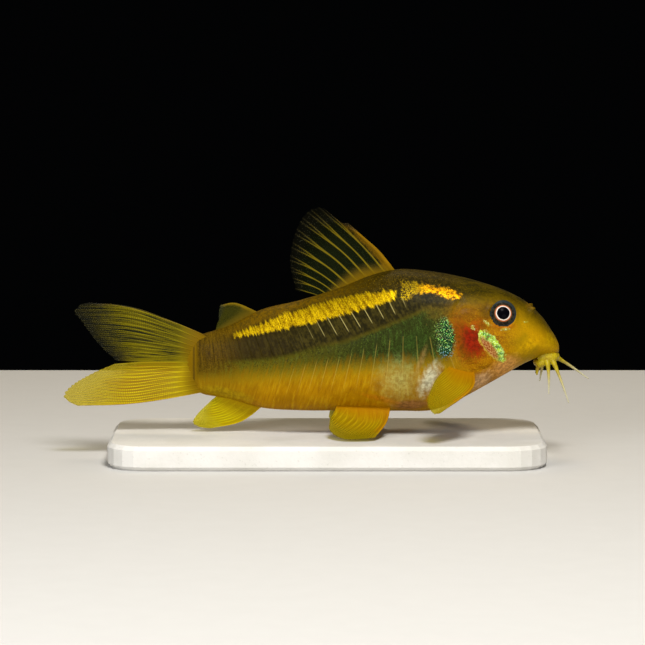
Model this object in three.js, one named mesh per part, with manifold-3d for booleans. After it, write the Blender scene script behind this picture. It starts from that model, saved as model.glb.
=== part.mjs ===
// A small armoured catfish at life size, propped on its pelvic fins and anal fin on a plain display base.
// Millimetres, +Z up, head towards +X, the fish's right side towards -Y. The origin is under the base's middle.
import * as THREE from "three";
import { mergeVertices } from "three/addons/utils/BufferGeometryUtils.js";
import Module from "manifold-3d";

const wasm = await Module();
wasm.setup();

// Sizes that drive the whole model
const gap = 0.3; // clearance between neighbouring pieces
const sliver = 0.008; // faces flatter than this are merged with their neighbours
const base = { length: 54, width: 27, height: 3, corner: 5, chamfer: 0.5 };
const floorZ = base.height + gap; // the level of the small flats that the fins stand on

// Body stations from the tail stalk to the snout tip, each as
// [x, back z, belly z, half width, height share of the widest point, upper fullness, lower fullness]
const bodyStations = [
  [-16.6, 15.1, 8.3, 1.0, 0.5, 2.0, 2.0],
  [-15.1, 15.5, 7.7, 1.5, 0.5, 2.0, 2.1],
  [-12.1, 16.5, 7.2, 2.2, 0.49, 2.0, 2.2],
  [-8.1, 18.45, 6.1, 3.1, 0.46, 2.0, 2.3],
  [-3.4, 19.55, 5.8, 4.1, 0.44, 1.95, 2.4],
  [1.6, 21.15, 5.8, 4.9, 0.43, 1.9, 2.5],
  [5.6, 22.8, 5.8, 5.5, 0.42, 1.9, 2.6],
  [9.1, 23.5, 5.8, 5.9, 0.42, 1.95, 2.6],
  [13.1, 23.2, 5.9, 6.0, 0.42, 2.1, 2.6],
  [16.4, 22.6, 7.2, 5.8, 0.41, 2.2, 2.6],
  [19.4, 21.8, 8.8, 5.4, 0.4, 2.3, 2.5],
  [22.25, 20.8, 10.4, 4.8, 0.4, 2.35, 2.4],
  [24.75, 19.5, 11.8, 4.0, 0.4, 2.3, 2.3],
  [26.8, 17.6, 12.6, 3.1, 0.42, 2.2, 2.2],
  [28.0, 15.9, 12.7, 2.35, 0.44, 2.1, 2.1],
  [28.65, 14.8, 12.8, 1.6, 0.46, 2.0, 2.0],
  [28.95, 14.1, 13.1, 0.8, 0.48, 2.0, 2.0],
  [29.0, 13.65, 13.5, 0.1, 0.5, 2.0, 2.0],
];
const ringSides = 32;
const headRingCount = 22;

// Two rows of overlapping scutes on each flank: their free edges lean as shallow chevrons that point forward
const scutes = {
  rows: 23,
  frontX: 15.6,
  rearX: -16.2,
  taper: 0.3, // how much narrower the last scute is than the first
  lift: 0.24, // height of a free rear edge
  riser: 0.12,
  stalkFrom: 16, // the first scute of the tail stalk
  seam: 0.05, // half the width of the groove between the two rows, as a share of the height
};
const lateralShare = [
  [-16.6, 0.46],
  [-8, 0.49],
  [0, 0.55],
  [9, 0.6],
  [16, 0.6],
  [29, 0.6],
];
// How far a scute edge has moved along the body at the back, and at the belly
const backLean = [
  [-16.6, 0],
  [-13, -0.9],
  [-8, -2.2],
  [0, -3.2],
  [6, -3.6],
  [11, -3.0],
  [15.6, -0.5],
  [18, 0],
  [29, 0],
];
const bellyLean = [
  [-16.6, 0],
  [-13, -0.5],
  [-8, -1.6],
  [0, -2.2],
  [6, -1.6],
  [11, 0.8],
  [15.6, 4.0],
  [20, 2.6],
  [24.5, 0.4],
  [26.5, 0],
  [29, 0],
];

const eye = { x: 21.7, z: 18.3, radius: 2.1, discRadius: 1.55, tiltUp: 18 };
const nostril = { x: 25.4, share: 0.9, side: 1.35, radius: 0.42, height: 0.75, pit: 0.3 };
const gillCover = { thickness: 0.8, stand: 0.15 };
const lips = { cornerX: 27.5, frontX: 28.6, rearX: 26.4, cornerY: 1.5, upperZ: 12.6, lowerZ: 11.85, radius: 0.6 };

// Cubic interpolation through knots [t, value, value, ...] with slopes from the neighbouring knots
function curveThrough(knots) {
  const slope = (i, k) => {
    const a = knots[Math.max(i - 1, 0)];
    const b = knots[Math.min(i + 1, knots.length - 1)];
    return (b[k] - a[k]) / (b[0] - a[0]);
  };
  return (t) => {
    let i = 0;
    while (i < knots.length - 2 && t > knots[i + 1][0]) i++;
    const span = knots[i + 1][0] - knots[i][0];
    const u = (t - knots[i][0]) / span;
    return knots[i].slice(1).map((start, j) => {
      const end = knots[i + 1][j + 1];
      const m0 = slope(i, j + 1) * span;
      const m1 = slope(i + 1, j + 1) * span;
      const v = u * u * (3 - 2 * u);
      return start + (end - start) * v + m0 * u * (1 - u) ** 2 - m1 * u * u * (1 - u);
    });
  };
}

const lerp = THREE.MathUtils.lerp;
const clamp = THREE.MathUtils.clamp;
const smoothstep = THREE.MathUtils.smoothstep;
const bodyAt = curveThrough(bodyStations.map((s, i) => [i, ...s]));
const lateralAt = curveThrough(lateralShare);
const backLeanAt = curveThrough(backLean);
const bellyLeanAt = curveThrough(bellyLean);
const lastStation = bodyStations.length - 1;

// The station number whose section stands at x
function stationAt(x) {
  let low = 0;
  let high = lastStation;
  for (let i = 0; i < 40; i++) {
    const middle = (low + high) / 2;
    if (bodyAt(middle)[0] < x) low = middle;
    else high = middle;
  }
  return (low + high) / 2;
}

// A point of the body's plain surface. Angle 0 is the left flank's widest line and a quarter turn is the back.
function bodyPoint(station, angle) {
  const [x, back, belly, halfWidth, share, upper, lower] = bodyAt(clamp(station, 0, lastStation));
  const c = Math.cos(angle);
  const s = Math.sin(angle);
  const power = 2 / (s > 0 ? upper : lower);
  const widestZ = lerp(belly, back, share);
  const reach = s > 0 ? back - widestZ : widestZ - belly;
  const y = halfWidth * Math.sign(c) * Math.abs(c) ** power;
  return new THREE.Vector3(x, y, widestZ + reach * Math.sign(s) * Math.abs(s) ** power);
}

function bodyNormal(station, angle) {
  const step = 0.02;
  const along = bodyPoint(station + step, angle).sub(bodyPoint(station - step, angle));
  const around = bodyPoint(station, angle + step).sub(bodyPoint(station, angle - step));
  return around.cross(along).normalize();
}

// The body's surface at x on the flank's middle line, moved along by the lean of the scute edges there
function leaningPoint(x, angle, lift) {
  const section = bodyAt(stationAt(x));
  const point = bodyPoint(stationAt(x), angle);
  const share = (point.z - section[2]) / (section[1] - section[2]);
  const line = lateralAt(x)[0];
  const rise = clamp((share - line) / (1 - line), 0, 1);
  const drop = clamp((line - share) / line, 0, 1);
  const station = stationAt(x + backLeanAt(x)[0] * rise + bellyLeanAt(x)[0] * drop);
  // A scute stands proud between the seam at the lateral line and the edges of the back and the belly
  const proud = Math.min(
    smoothstep(Math.abs(share - line), 0, scutes.seam),
    1 - smoothstep(share, 0.93, 0.995),
    smoothstep(share, 0.03, 0.16),
  );
  return bodyPoint(station, angle).addScaledVector(bodyNormal(station, angle), lift * proud);
}

function ring(pointAt) {
  return Array.from({ length: ringSides }, (_, i) => pointAt((i / ringSides) * 2 * Math.PI));
}

// A closed geometry from vertices and triangles, with its faces turned outwards
function closedGeometry(points, faces) {
  const six = faces.reduce((sum, [a, b, c]) => {
    return sum + points[a].dot(points[b].clone().cross(points[c]));
  }, 0);
  const outward = six > 0 ? faces : faces.map(([a, b, c]) => [a, c, b]);
  const geometry = new THREE.BufferGeometry().setFromPoints(points);
  geometry.setIndex(outward.flat());
  return geometry;
}

// A closed skin over rings of equal length, with a fan over each end
function loft(rings) {
  const sides = rings[0].length;
  const points = rings.flat();
  const faces = [];
  for (let r = 0; r + 1 < rings.length; r++) {
    for (let i = 0; i < sides; i++) {
      const a = r * sides + i;
      const b = r * sides + ((i + 1) % sides);
      faces.push([a, b, b + sides], [a, b + sides, a + sides]);
    }
  }
  for (const [first, flip] of [[0, true], [(rings.length - 1) * sides, false]]) {
    const middle = new THREE.Vector3();
    for (let i = 0; i < sides; i++) middle.addScaledVector(points[first + i], 1 / sides);
    const centre = points.push(middle) - 1;
    for (let i = 0; i < sides; i++) {
      const a = first + i;
      const b = first + ((i + 1) % sides);
      faces.push(flip ? [centre, b, a] : [centre, a, b]);
    }
  }
  return closedGeometry(points, faces);
}

// Turns a closed geometry into a solid that can be joined and cut
function solidOf(geometry) {
  const bare = geometry.index ? geometry.toNonIndexed() : geometry.clone();
  bare.deleteAttribute("normal");
  bare.deleteAttribute("uv");
  const merged = mergeVertices(bare, 1e-4);
  return new wasm.Manifold(
    new wasm.Mesh({
      numProp: 3,
      vertProperties: new Float32Array(merged.attributes.position.array),
      triVerts: new Uint32Array(merged.index.array),
    }),
  );
}

// The largest closed surface of a solid, without its slivers, as a named mesh
function meshOf(solid, name, material) {
  const largest = solid.decompose().sort((a, b) => b.volume() - a.volume())[0].simplify(sliver);
  const data = largest.getMesh();
  const geometry = new THREE.BufferGeometry();
  geometry.setAttribute("position", new THREE.BufferAttribute(data.vertProperties, 3));
  geometry.setIndex(new THREE.BufferAttribute(data.triVerts, 1));
  geometry.computeVertexNormals();
  const mesh = new THREE.Mesh(geometry, material);
  mesh.name = name;
  return mesh;
}

function joined(solids) {
  return solids.reduce((all, next) => all.add(next));
}

function mirrored(solid) {
  return solid.mirror([0, 1, 0]);
}

// Where each scute's front and rear edge stand on the lateral line, from the head backwards
function scuteEdges() {
  const widths = Array.from({ length: scutes.rows }, (_, i) => 1 - (scutes.taper * i) / (scutes.rows - 1));
  const total = widths.reduce((sum, w) => sum + w, 0);
  const scale = (scutes.frontX - scutes.rearX) / total;
  const edges = [scutes.frontX];
  for (const width of widths) edges.push(edges.at(-1) - width * scale);
  return edges;
}

// The rings of one run of scutes: each plate starts low, swells and ends on a proud edge over the next one
function scuteRings(first, last, grow) {
  const edges = scuteEdges();
  const rings = [];
  for (let i = first; i < last; i++) {
    const front = edges[i] - (i === first && first > 0 ? gap : 0);
    const rear = edges[i + 1] + scutes.riser;
    rings.push(ring((angle) => leaningPoint(front, angle, grow)));
    rings.push(ring((angle) => leaningPoint(lerp(front, rear, 0.5), angle, grow + scutes.lift * 0.7)));
    rings.push(ring((angle) => leaningPoint(rear, angle, grow + scutes.lift)));
  }
  return rings;
}

// The rings of the head, from the snout tip back to the gill opening
function headRings(grow) {
  const rear = stationAt(scutes.frontX + gap);
  return Array.from({ length: headRingCount }, (_, i) => {
    const station = lerp(lastStation - 0.05, rear, i / (headRingCount - 1));
    const x = bodyAt(station)[0];
    return ring((angle) => {
      if (x > 27) return bodyPoint(station, angle).addScaledVector(bodyNormal(station, angle), grow);
      return leaningPoint(x, angle, 0).addScaledVector(bodyNormal(station, angle), grow);
    });
  });
}

// The whole body grown by a clearance, which cuts the roots of the fins and feelers to its shape
function clearanceBody() {
  const head = headRings(gap);
  const trunk = scuteRings(0, scutes.rows, gap);
  const end = ring((angle) => {
    const point = bodyPoint(0, angle).addScaledVector(bodyNormal(0.05, angle), gap);
    return point.setX(bodyStations[0][0] - gap);
  });
  return solidOf(loft([...head, ...trunk, end]));
}

function sphere(x, y, z, radius, rounds = 18) {
  return solidOf(new THREE.SphereGeometry(radius, rounds, rounds / 2).translate(x, y, z));
}

// A round tapering tube along a smooth line through points, as solid
function feeler(points, rootRadius, tipRadius, sides = 8, steps = 12) {
  const line = new THREE.CatmullRomCurve3(points.map((p) => new THREE.Vector3(...p)));
  const rings = [];
  for (let i = 0; i <= steps; i++) {
    const t = i / steps;
    const centre = line.getPoint(t);
    const across = line.getTangent(t).cross(new THREE.Vector3(0.2, 1, 0.1)).normalize();
    const other = line.getTangent(t).cross(across).normalize();
    const radius = lerp(rootRadius, tipRadius, t);
    rings.push(
      Array.from({ length: sides }, (_, k) => {
        const angle = (k / sides) * 2 * Math.PI;
        const point = centre.clone().addScaledVector(across, radius * Math.cos(angle));
        return point.addScaledVector(other, radius * Math.sin(angle));
      }),
    );
  }
  return solidOf(loft(rings));
}

// A fin as one closed plate. Each contour gives [ray number, x, y, z] knots and runs across all the rays, the first
// at the sunk root and the last at the tips. Rays are ridges raised on both faces of the membrane.
function fin({ rays, contours, rows, rayShare = 0.24, membrane = 0.5, crest = 0.85, edge = 0.45, notch = 0.05 }) {
  const contourAt = contours.map(curveThrough);
  const pointAt = (ray, v) => {
    const knots = contourAt.map((contour, i) => [i / (contours.length - 1), ...contour(ray)]);
    return new THREE.Vector3(...curveThrough(knots)(v));
  };
  const columns = [];
  for (let k = 0; k < rays; k++) {
    if (k > 0) columns.push({ ray: k, side: -1 });
    columns.push({ ray: k, side: 0 });
    if (k < rays - 1) columns.push({ ray: k, side: 1 });
  }
  const front = [];
  const back = [];
  for (let j = 0; j <= rows; j++) {
    const v = j / rows;
    for (const { ray, side } of columns) {
      const across = ray + side * lerp(rayShare, rayShare * 0.6, v);
      const reach = v * (side === 0 ? 1 : 1 - notch * v);
      const point = pointAt(across, reach);
      const step = 0.01;
      const along = pointAt(across, reach + step).sub(pointAt(across, reach - step));
      const over = pointAt(across + step, reach).sub(pointAt(across - step, reach));
      const normal = along.cross(over).normalize();
      const thick = side === 0 ? lerp(crest, edge, v) : lerp(membrane, edge * 0.9, v);
      front.push(point.clone().addScaledVector(normal, thick / 2));
      back.push(point.clone().addScaledVector(normal, -thick / 2));
    }
  }
  return plate(front, back, columns.length, rows);
}

// A closed plate between two grids of points that are split into triangles alike
function plate(front, back, width, rows) {
  const faces = [];
  const shift = front.length;
  const at = (j, i) => j * width + i;
  for (let j = 0; j < rows; j++) {
    for (let i = 0; i + 1 < width; i++) {
      const quad = [at(j, i), at(j, i + 1), at(j + 1, i + 1), at(j + 1, i)];
      faces.push([quad[0], quad[1], quad[2]], [quad[0], quad[2], quad[3]]);
      faces.push(
        [quad[0] + shift, quad[2] + shift, quad[1] + shift],
        [quad[0] + shift, quad[3] + shift, quad[2] + shift],
      );
    }
  }
  const rim = [];
  for (let i = 0; i < width; i++) rim.push(at(0, i));
  for (let j = 1; j <= rows; j++) rim.push(at(j, width - 1));
  for (let i = width - 2; i >= 0; i--) rim.push(at(rows, i));
  for (let j = rows - 1; j > 0; j--) rim.push(at(j, 0));
  rim.forEach((a, i) => {
    const b = rim[(i + 1) % rim.length];
    faces.push([a, b + shift, b], [a, a + shift, b + shift]);
  });
  return solidOf(closedGeometry([...front, ...back], faces));
}

// Fins that lie in the fish's middle plane take [ray number, x, z] knots
const flat = (knots) => knots.map(([ray, x, z]) => [ray, x, 0, z]);

const dorsalFin = {
  rays: 10,
  rows: 8,
  crest: 0.9,
  contours: [
    flat([[0, 8.8, 22.4], [3, 5.4, 21.9], [6, 2.3, 20.5], [9, 0.1, 19.4]]),
    flat([[0, 6.9, 25.8], [3, 2.4, 25.6], [6, -0.4, 23.0], [9, -1.4, 20.5]]),
    flat([[0, 4.6, 28.1], [1, 2.6, 28.9], [3, -0.7, 28.0], [6, -2.6, 24.1], [9, -2.7, 20.7]]),
    flat([[0, 2.6, 29.4], [1, -0.7, 31.3], [3, -3.2, 29.7], [6, -4.6, 24.9], [9, -3.9, 20.8]]),
  ],
};
const adiposeFin = {
  rays: 4,
  rows: 5,
  crest: 0.75,
  contours: [
    flat([[0, -7.6, 17.6], [3, -14.2, 14.4]]),
    flat([[0, -11.2, 19.2], [3, -13.7, 16.7]]),
    flat([[0, -13.3, 19.0], [1, -13.5, 18.2], [3, -13.5, 16.5]]),
  ],
};
const upperTail = {
  rays: 8,
  rows: 8,
  crest: 0.85,
  rayShare: 0.28,
  contours: [
    flat([[0, -15.9, 12.0], [4, -15.9, 13.6], [7, -14.6, 14.6]]),
    flat([[0, -19.2, 12.0], [4, -19.5, 14.7], [7, -19.3, 16.6]]),
    flat([[0, -23.0, 12.0], [4, -24.6, 15.8], [7, -24.6, 18.6]]),
    flat([[0, -26.4, 12.0], [2, -28.6, 14.1], [5, -30.9, 17.3], [6.4, -31.7, 18.5], [7, -30.4, 19.2]]),
  ],
};
const lowerTail = {
  rays: 8,
  rows: 8,
  crest: 0.85,
  rayShare: 0.28,
  contours: [
    flat([[0, -15.9, 11.6], [4, -15.9, 9.6], [7, -14.6, 8.3]]),
    flat([[0, -19.2, 11.6], [4, -19.9, 9.2], [7, -19.9, 7.2]]),
    flat([[0, -23.0, 11.6], [4, -25.4, 8.5], [7, -25.2, 6.5]]),
    flat([[0, -26.6, 11.4], [2, -29.6, 9.8], [5, -32.2, 8.2], [6.4, -33.1, 7.0], [7, -31.4, 6.2]]),
  ],
};
const analFin = {
  rays: 7,
  rows: 7,
  contours: [
    flat([[0, -7.0, 7.2], [6, -12.8, 8.4]]),
    flat([[0, -10.6, 4.4], [3, -13.2, 5.6], [6, -14.6, 7.0]]),
    flat([[0, -15.6, 3.0], [1, -16.6, 3.3], [3, -17.0, 4.6], [6, -15.5, 6.7]]),
  ],
};
// The right pelvic fin is spread wide and the left one is drawn in under the body
const leftSpread = 0.62; // how far the left one reaches out, as a share of the right one
const pelvicFin = {
  rays: 7,
  rows: 7,
  contours: [
    [[0, 7.4, -2.6, 7.2], [6, 4.6, -2.4, 7.2]],
    [[0, 7.0, -5.3, 5.0], [3, 4.6, -5.7, 4.9], [6, 3.0, -3.9, 5.4]],
    [[0, 5.8, -8.3, 3.2], [1, 4.4, -9.0, 3.1], [3, 1.9, -8.8, 3.1], [5, 0.2, -6.6, 3.8], [6, 1.0, -4.8, 5.0]],
  ],
};
const pectoralFin = {
  rays: 9,
  rows: 7,
  crest: 0.9,
  contours: [
    [[0, 17.6, -4.6, 10.6], [8, 15.6, -4.9, 11.6]],
    [[0, 17.7, -8.6, 9.2], [4, 15.2, -8.4, 9.6], [8, 13.6, -7.0, 10.9]],
    [[0, 13.6, -12.9, 7.1], [1, 12.6, -12.7, 7.0], [4, 11.6, -11.2, 8.3], [8, 12.6, -8.6, 10.3]],
  ],
};
const barbels = {
  barbel_right_upper: [[27.7, -0.9, 12.9], [28.4, -1.9, 11.6], [29.2, -2.4, 9.6], [30.1, -2.6, 7.0]],
  barbel_right_lower: [[27.2, -1.0, 12.8], [27.5, -2.1, 11.6], [27.6, -2.5, 9.9], [27.6, -2.6, 8.1]],
  barbel_left_upper: [[28.0, 0.8, 13.0], [29.1, 1.7, 12.1], [30.9, 2.3, 10.9], [32.95, 2.7, 9.4]],
  barbel_left_lower: [[26.8, 1.0, 12.7], [27.1, 2.1, 11.6], [27.0, 2.5, 10.4], [26.8, 2.6, 9.1]],
};

// The outline of the gill cover in side view, as a prism through one side of the head
function gillPrism(grow) {
  const outline = new THREE.Shape(
    new THREE.SplineCurve(
      [[17.3, 18.4], [16.1, 16.8], [16.0, 14.6], [17.2, 12.5], [19.2, 11.2], [20.4, 12.6], [20.2, 15.0], [19.2, 17.4], [17.3, 18.4]].map(
        ([x, z]) => new THREE.Vector2(x, z),
      ),
    ).getPoints(28),
  );
  const middle = new THREE.Vector2(18.2, 14.8);
  const points = outline.getPoints().slice(0, -1).map((p) => {
    const out = p.clone().sub(middle);
    return middle.clone().addScaledVector(out, 1 + grow / out.length());
  });
  const prism = new THREE.ExtrudeGeometry(new THREE.Shape(points), { depth: 8, bevelEnabled: false, steps: 1 });
  return solidOf(prism.rotateX(Math.PI / 2));
}

// The centre of the right eyeball, sunk so that only a disc of the named radius shows
function eyeCentre() {
  const station = stationAt(eye.x);
  let angle = Math.PI;
  while (bodyPoint(station, angle).z < eye.z) angle -= 0.005;
  const sink = Math.sqrt(eye.radius ** 2 - eye.discRadius ** 2);
  const tilt = THREE.MathUtils.degToRad(eye.tiltUp);
  const out = new THREE.Vector3(0.1, -Math.cos(tilt), Math.sin(tilt)).normalize();
  return bodyPoint(station, angle).addScaledVector(out, -sink);
}

// A nostril on the right side: a short raised tube with a pit in its top
function nostrilParts() {
  const station = stationAt(nostril.x);
  const angle = Math.PI / 2 + nostril.side / 2.4;
  const root = bodyPoint(station, angle);
  const out = bodyNormal(station, angle);
  const tube = new THREE.CylinderGeometry(nostril.radius * 0.8, nostril.radius * 1.3, nostril.height, 12);
  const pit = new THREE.CylinderGeometry(nostril.pit, nostril.pit * 0.7, nostril.height, 10);
  const turn = new THREE.Quaternion().setFromUnitVectors(new THREE.Vector3(0, 1, 0), out);
  const place = (geometry, height) => {
    const at = root.clone().addScaledVector(out, height);
    return solidOf(geometry.applyQuaternion(turn).translate(at.x, at.y, at.z));
  };
  return { tube: place(tube, 0.1), pit: place(pit, 0.35) };
}

function lipTube(rear, grow = 0) {
  const middleX = rear ? lips.rearX : lips.frontX;
  const bendX = (lips.cornerX + middleX) / 2 + (rear ? -0.3 : 0.3);
  const z = rear ? lips.lowerZ : lips.upperZ;
  const cornerZ = (lips.lowerZ + lips.upperZ) / 2;
  const points = [
    [lips.cornerX, -lips.cornerY, cornerZ],
    [bendX, -lips.cornerY * 0.75, z],
    [middleX, 0, z],
    [bendX, lips.cornerY * 0.75, z],
    [lips.cornerX, lips.cornerY, cornerZ],
  ];
  return feeler(points, lips.radius + grow, lips.radius + grow, 8, 10);
}

const paint = {
  skin: new THREE.MeshStandardMaterial({ color: 0xa87a12, roughness: 0.35, metalness: 0.2 }),
  fin: new THREE.MeshStandardMaterial({ color: 0x9a8a18, roughness: 0.4, metalness: 0.0 }),
  barbel: new THREE.MeshStandardMaterial({ color: 0xb8a820, roughness: 0.45, metalness: 0.0 }),
  eye: new THREE.MeshStandardMaterial({ color: 0x10141c, roughness: 0.1, metalness: 0.0 }),
  base: new THREE.MeshStandardMaterial({ color: 0xe2e0da, roughness: 0.6, metalness: 0.0 }),
};

function head() {
  const centre = eyeCentre();
  const socket = sphere(centre.x, centre.y, centre.z, eye.radius + gap, 20);
  const { tube, pit } = nostrilParts();
  const inner = solidOf(loft(headRings(-gillCover.thickness)));
  const pocket = gillPrism(gap).subtract(inner);
  const right = [socket, pit, pocket];
  const cuts = joined([...right, ...right.map(mirrored)]);
  return joined([solidOf(loft(headRings(0))), tube, mirrored(tube), lipTube(false)]).subtract(cuts);
}

function gillCoverRight() {
  const outer = solidOf(loft(headRings(gillCover.stand)));
  const inner = solidOf(loft(headRings(gap - gillCover.thickness)));
  const rear = solidOf(loft(scuteRings(0, 3, gap)));
  return gillPrism(0).intersect(outer).subtract(inner).subtract(rear);
}

function lowerLip(grow = 0) {
  const root = 0.42 + grow;
  const barb = feeler([[26.6, -0.6, 12.0], [26.4, -0.8, 11.2], [26.2, -0.9, 10.3]], root, 0.25 + grow, 8, 5);
  return joined([lipTube(true, grow), barb, mirrored(barb)]);
}

// A flat slab with rounded corners and a small chamfer along both rims
function standBase() {
  const outline = (inset, z) => {
    const points = [];
    const reachX = base.length / 2 - base.corner;
    const reachY = base.width / 2 - base.corner;
    for (const [sx, sy, start] of [[1, 1, 0], [-1, 1, 90], [-1, -1, 180], [1, -1, 270]]) {
      for (let i = 0; i <= 5; i++) {
        const angle = THREE.MathUtils.degToRad(start + i * 18);
        const radius = base.corner - inset;
        const x = sx * reachX + radius * Math.cos(angle);
        points.push(new THREE.Vector3(x, sy * reachY + radius * Math.sin(angle), z));
      }
    }
    return points;
  };
  const { chamfer, height } = base;
  return solidOf(
    loft([outline(chamfer, 0), outline(0, chamfer), outline(0, height - chamfer), outline(chamfer, height)]),
  );
}

const model = new THREE.Group();
const addNode = (name, solid, material) => model.add(meshOf(solid, name, material));
const underFloor = solidOf(new THREE.BoxGeometry(90, 60, 20).translate(0, 0, floorZ - 10));
const clearance = clearanceBody();
const fitted = (solid) => solid.subtract(clearance).subtract(underFloor);

const stalkFrom = scutes.stalkFrom;
const endRing = ring((angle) => bodyPoint(0, angle));
const cover = gillCoverRight();
const centre = eyeCentre();
const eyeBall = sphere(centre.x, centre.y, centre.z, eye.radius);
const drawnIn = ([ray, x, y, z]) => [ray, x, y * leftSpread, z];
const pelvicRight = fitted(fin(pelvicFin));
const pelvicLeft = mirrored(fitted(fin({ ...pelvicFin, contours: pelvicFin.contours.map((c) => c.map(drawnIn)) })));
const pectoral = fitted(fin(pectoralFin));
const lip = lowerLip();
const lowerLipClearance = lowerLip(gap);
const barbelClearance = joined([clearance, lowerLipClearance, lipTube(false, gap)]);

addNode("head", head().subtract(lowerLipClearance), paint.skin);
addNode("gill_cover_right", cover, paint.skin);
addNode("gill_cover_left", mirrored(cover), paint.skin);
addNode("torso", solidOf(loft(scuteRings(0, stalkFrom, 0))), paint.skin);
addNode("tail_stalk", solidOf(loft([...scuteRings(stalkFrom, scutes.rows, 0), endRing])), paint.skin);
addNode("dorsal_fin", fitted(fin(dorsalFin)), paint.fin);
addNode("adipose_fin", fitted(fin(adiposeFin)), paint.fin);
addNode("tail_fin_upper", fitted(fin(upperTail)), paint.fin);
addNode("tail_fin_lower", fitted(fin(lowerTail)), paint.fin);
addNode("anal_fin", fitted(fin(analFin)), paint.fin);
addNode("pelvic_fin_right", pelvicRight, paint.fin);
addNode("pelvic_fin_left", pelvicLeft, paint.fin);
addNode("pectoral_fin_right", pectoral, paint.fin);
addNode("pectoral_fin_left", mirrored(pectoral), paint.fin);
addNode("eye_right", eyeBall, paint.eye);
addNode("eye_left", mirrored(eyeBall), paint.eye);
addNode("lower_lip", lip, paint.skin);
for (const [name, points] of Object.entries(barbels)) {
  addNode(name, feeler(points, 0.42, 0.2).subtract(barbelClearance), paint.barbel);
}
addNode("stand_base", standBase(), paint.base);

export default model;
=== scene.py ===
import math

import bpy
import numpy as np
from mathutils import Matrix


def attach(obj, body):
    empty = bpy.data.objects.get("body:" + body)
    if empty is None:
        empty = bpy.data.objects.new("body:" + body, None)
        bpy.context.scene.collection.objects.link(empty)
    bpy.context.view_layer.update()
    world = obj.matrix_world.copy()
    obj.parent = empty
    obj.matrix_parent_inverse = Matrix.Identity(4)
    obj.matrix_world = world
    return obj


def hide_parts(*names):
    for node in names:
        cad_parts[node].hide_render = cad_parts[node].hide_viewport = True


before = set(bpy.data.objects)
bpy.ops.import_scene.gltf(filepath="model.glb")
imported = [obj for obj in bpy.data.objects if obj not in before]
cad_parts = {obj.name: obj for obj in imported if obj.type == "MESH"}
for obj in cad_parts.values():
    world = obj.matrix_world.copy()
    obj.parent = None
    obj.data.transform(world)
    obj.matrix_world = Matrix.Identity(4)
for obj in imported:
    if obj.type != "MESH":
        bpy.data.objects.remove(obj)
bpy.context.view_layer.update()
mm = 0.001
viewTilt = math.radians(6)  # how far the photograph looks down on the fish
lowestZ = 3.3  # the lowest point of the fish, just above its base
print("frame loaded")


# Curves and grids
def curveThrough(knots):  # knots are [t, value, value, ...]
    knots = np.array(knots, float)
    t, values = knots[:, 0], knots[:, 1:]
    before = np.maximum(np.arange(len(t)) - 1, 0)
    after = np.minimum(np.arange(len(t)) + 1, len(t) - 1)
    slopes = (values[after] - values[before]) / (t[after] - t[before])[:, None]

    def at(where):
        where = np.asarray(where, float)
        i = np.clip(np.searchsorted(t, where) - 1, 0, len(t) - 2)
        span = (t[i + 1] - t[i])[..., None]
        u = (where[..., None] - t[i][..., None]) / span
        rise = u * u * (3 - 2 * u)
        leave = slopes[i] * span * u * (1 - u) ** 2
        arrive = slopes[i + 1] * span * u * u * (1 - u)
        return values[i] + (values[i + 1] - values[i]) * rise + leave - arrive

    return at


def heldCurve(knots):  # one value, held level beyond both ends
    curve = curveThrough(knots)
    return lambda where: curve(np.clip(where, knots[0][0], knots[-1][0]))[..., 0]


def smooth(values, low, high):
    t = np.clip((values - low) / (high - low), 0, 1)
    return t * t * (3 - 2 * t)


def gridNormals(points):
    along = np.gradient(points, axis=0)
    around = np.gradient(points, axis=1)
    normals = np.cross(around, along)
    return normals / np.maximum(np.linalg.norm(normals, axis=-1, keepdims=True), 1e-12)


def addMesh(name, points, faces, marks, material, slot, nodes):
    mesh = bpy.data.meshes.new(name)
    mesh.from_pydata((points * mm).tolist(), [], faces)
    mesh.polygons.foreach_set("use_smooth", [True] * len(mesh.polygons))
    for key, values in marks.items():
        layer = mesh.attributes.new(key, "FLOAT", "POINT")
        layer.data.foreach_set("value", np.asarray(values, np.float32).ravel())
    mesh.materials.append(material)
    mesh.update()
    piece = bpy.data.objects.new(name, mesh)
    bpy.context.scene.collection.objects.link(piece)
    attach(piece, "root")
    if nodes:
        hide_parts(*nodes)
    return piece


# Quads of a grid closed across its columns, then a fan to the point at each end
def tubeFaces(rows, columns, turned=False):
    faces = []
    for r in range(rows - 1):
        for c in range(columns):
            d = (c + 1) % columns
            quad = [r * columns + c, r * columns + d, (r + 1) * columns + d, (r + 1) * columns + c]
            faces.append(quad[::-1] if turned else quad)
    end = rows * columns
    last = end - columns
    for c in range(columns):
        d = (c + 1) % columns
        if turned:
            faces += [[end, c, d], [end + 1, last + d, last + c]]
        else:
            faces += [[end, d, c], [end + 1, last + c, last + d]]
    return faces


# Shader nodes
class Wire:  # a socket that can be added, subtracted and multiplied
    def __init__(self, finish, socket):
        self.finish = finish
        self.socket = socket

    def math(self, operation, first, second=0.0):
        return self.finish.node("ShaderNodeMath", {"operation": operation}, {0: first, 1: second})

    def __add__(self, other):
        return self.math("ADD", self, other)

    def __radd__(self, other):
        return self.math("ADD", other, self)

    def __sub__(self, other):
        return self.math("SUBTRACT", self, other)

    def __rsub__(self, other):
        return self.math("SUBTRACT", other, self)

    def __mul__(self, other):
        return self.math("MULTIPLY", self, other)

    def __rmul__(self, other):
        return self.math("MULTIPLY", other, self)


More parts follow.
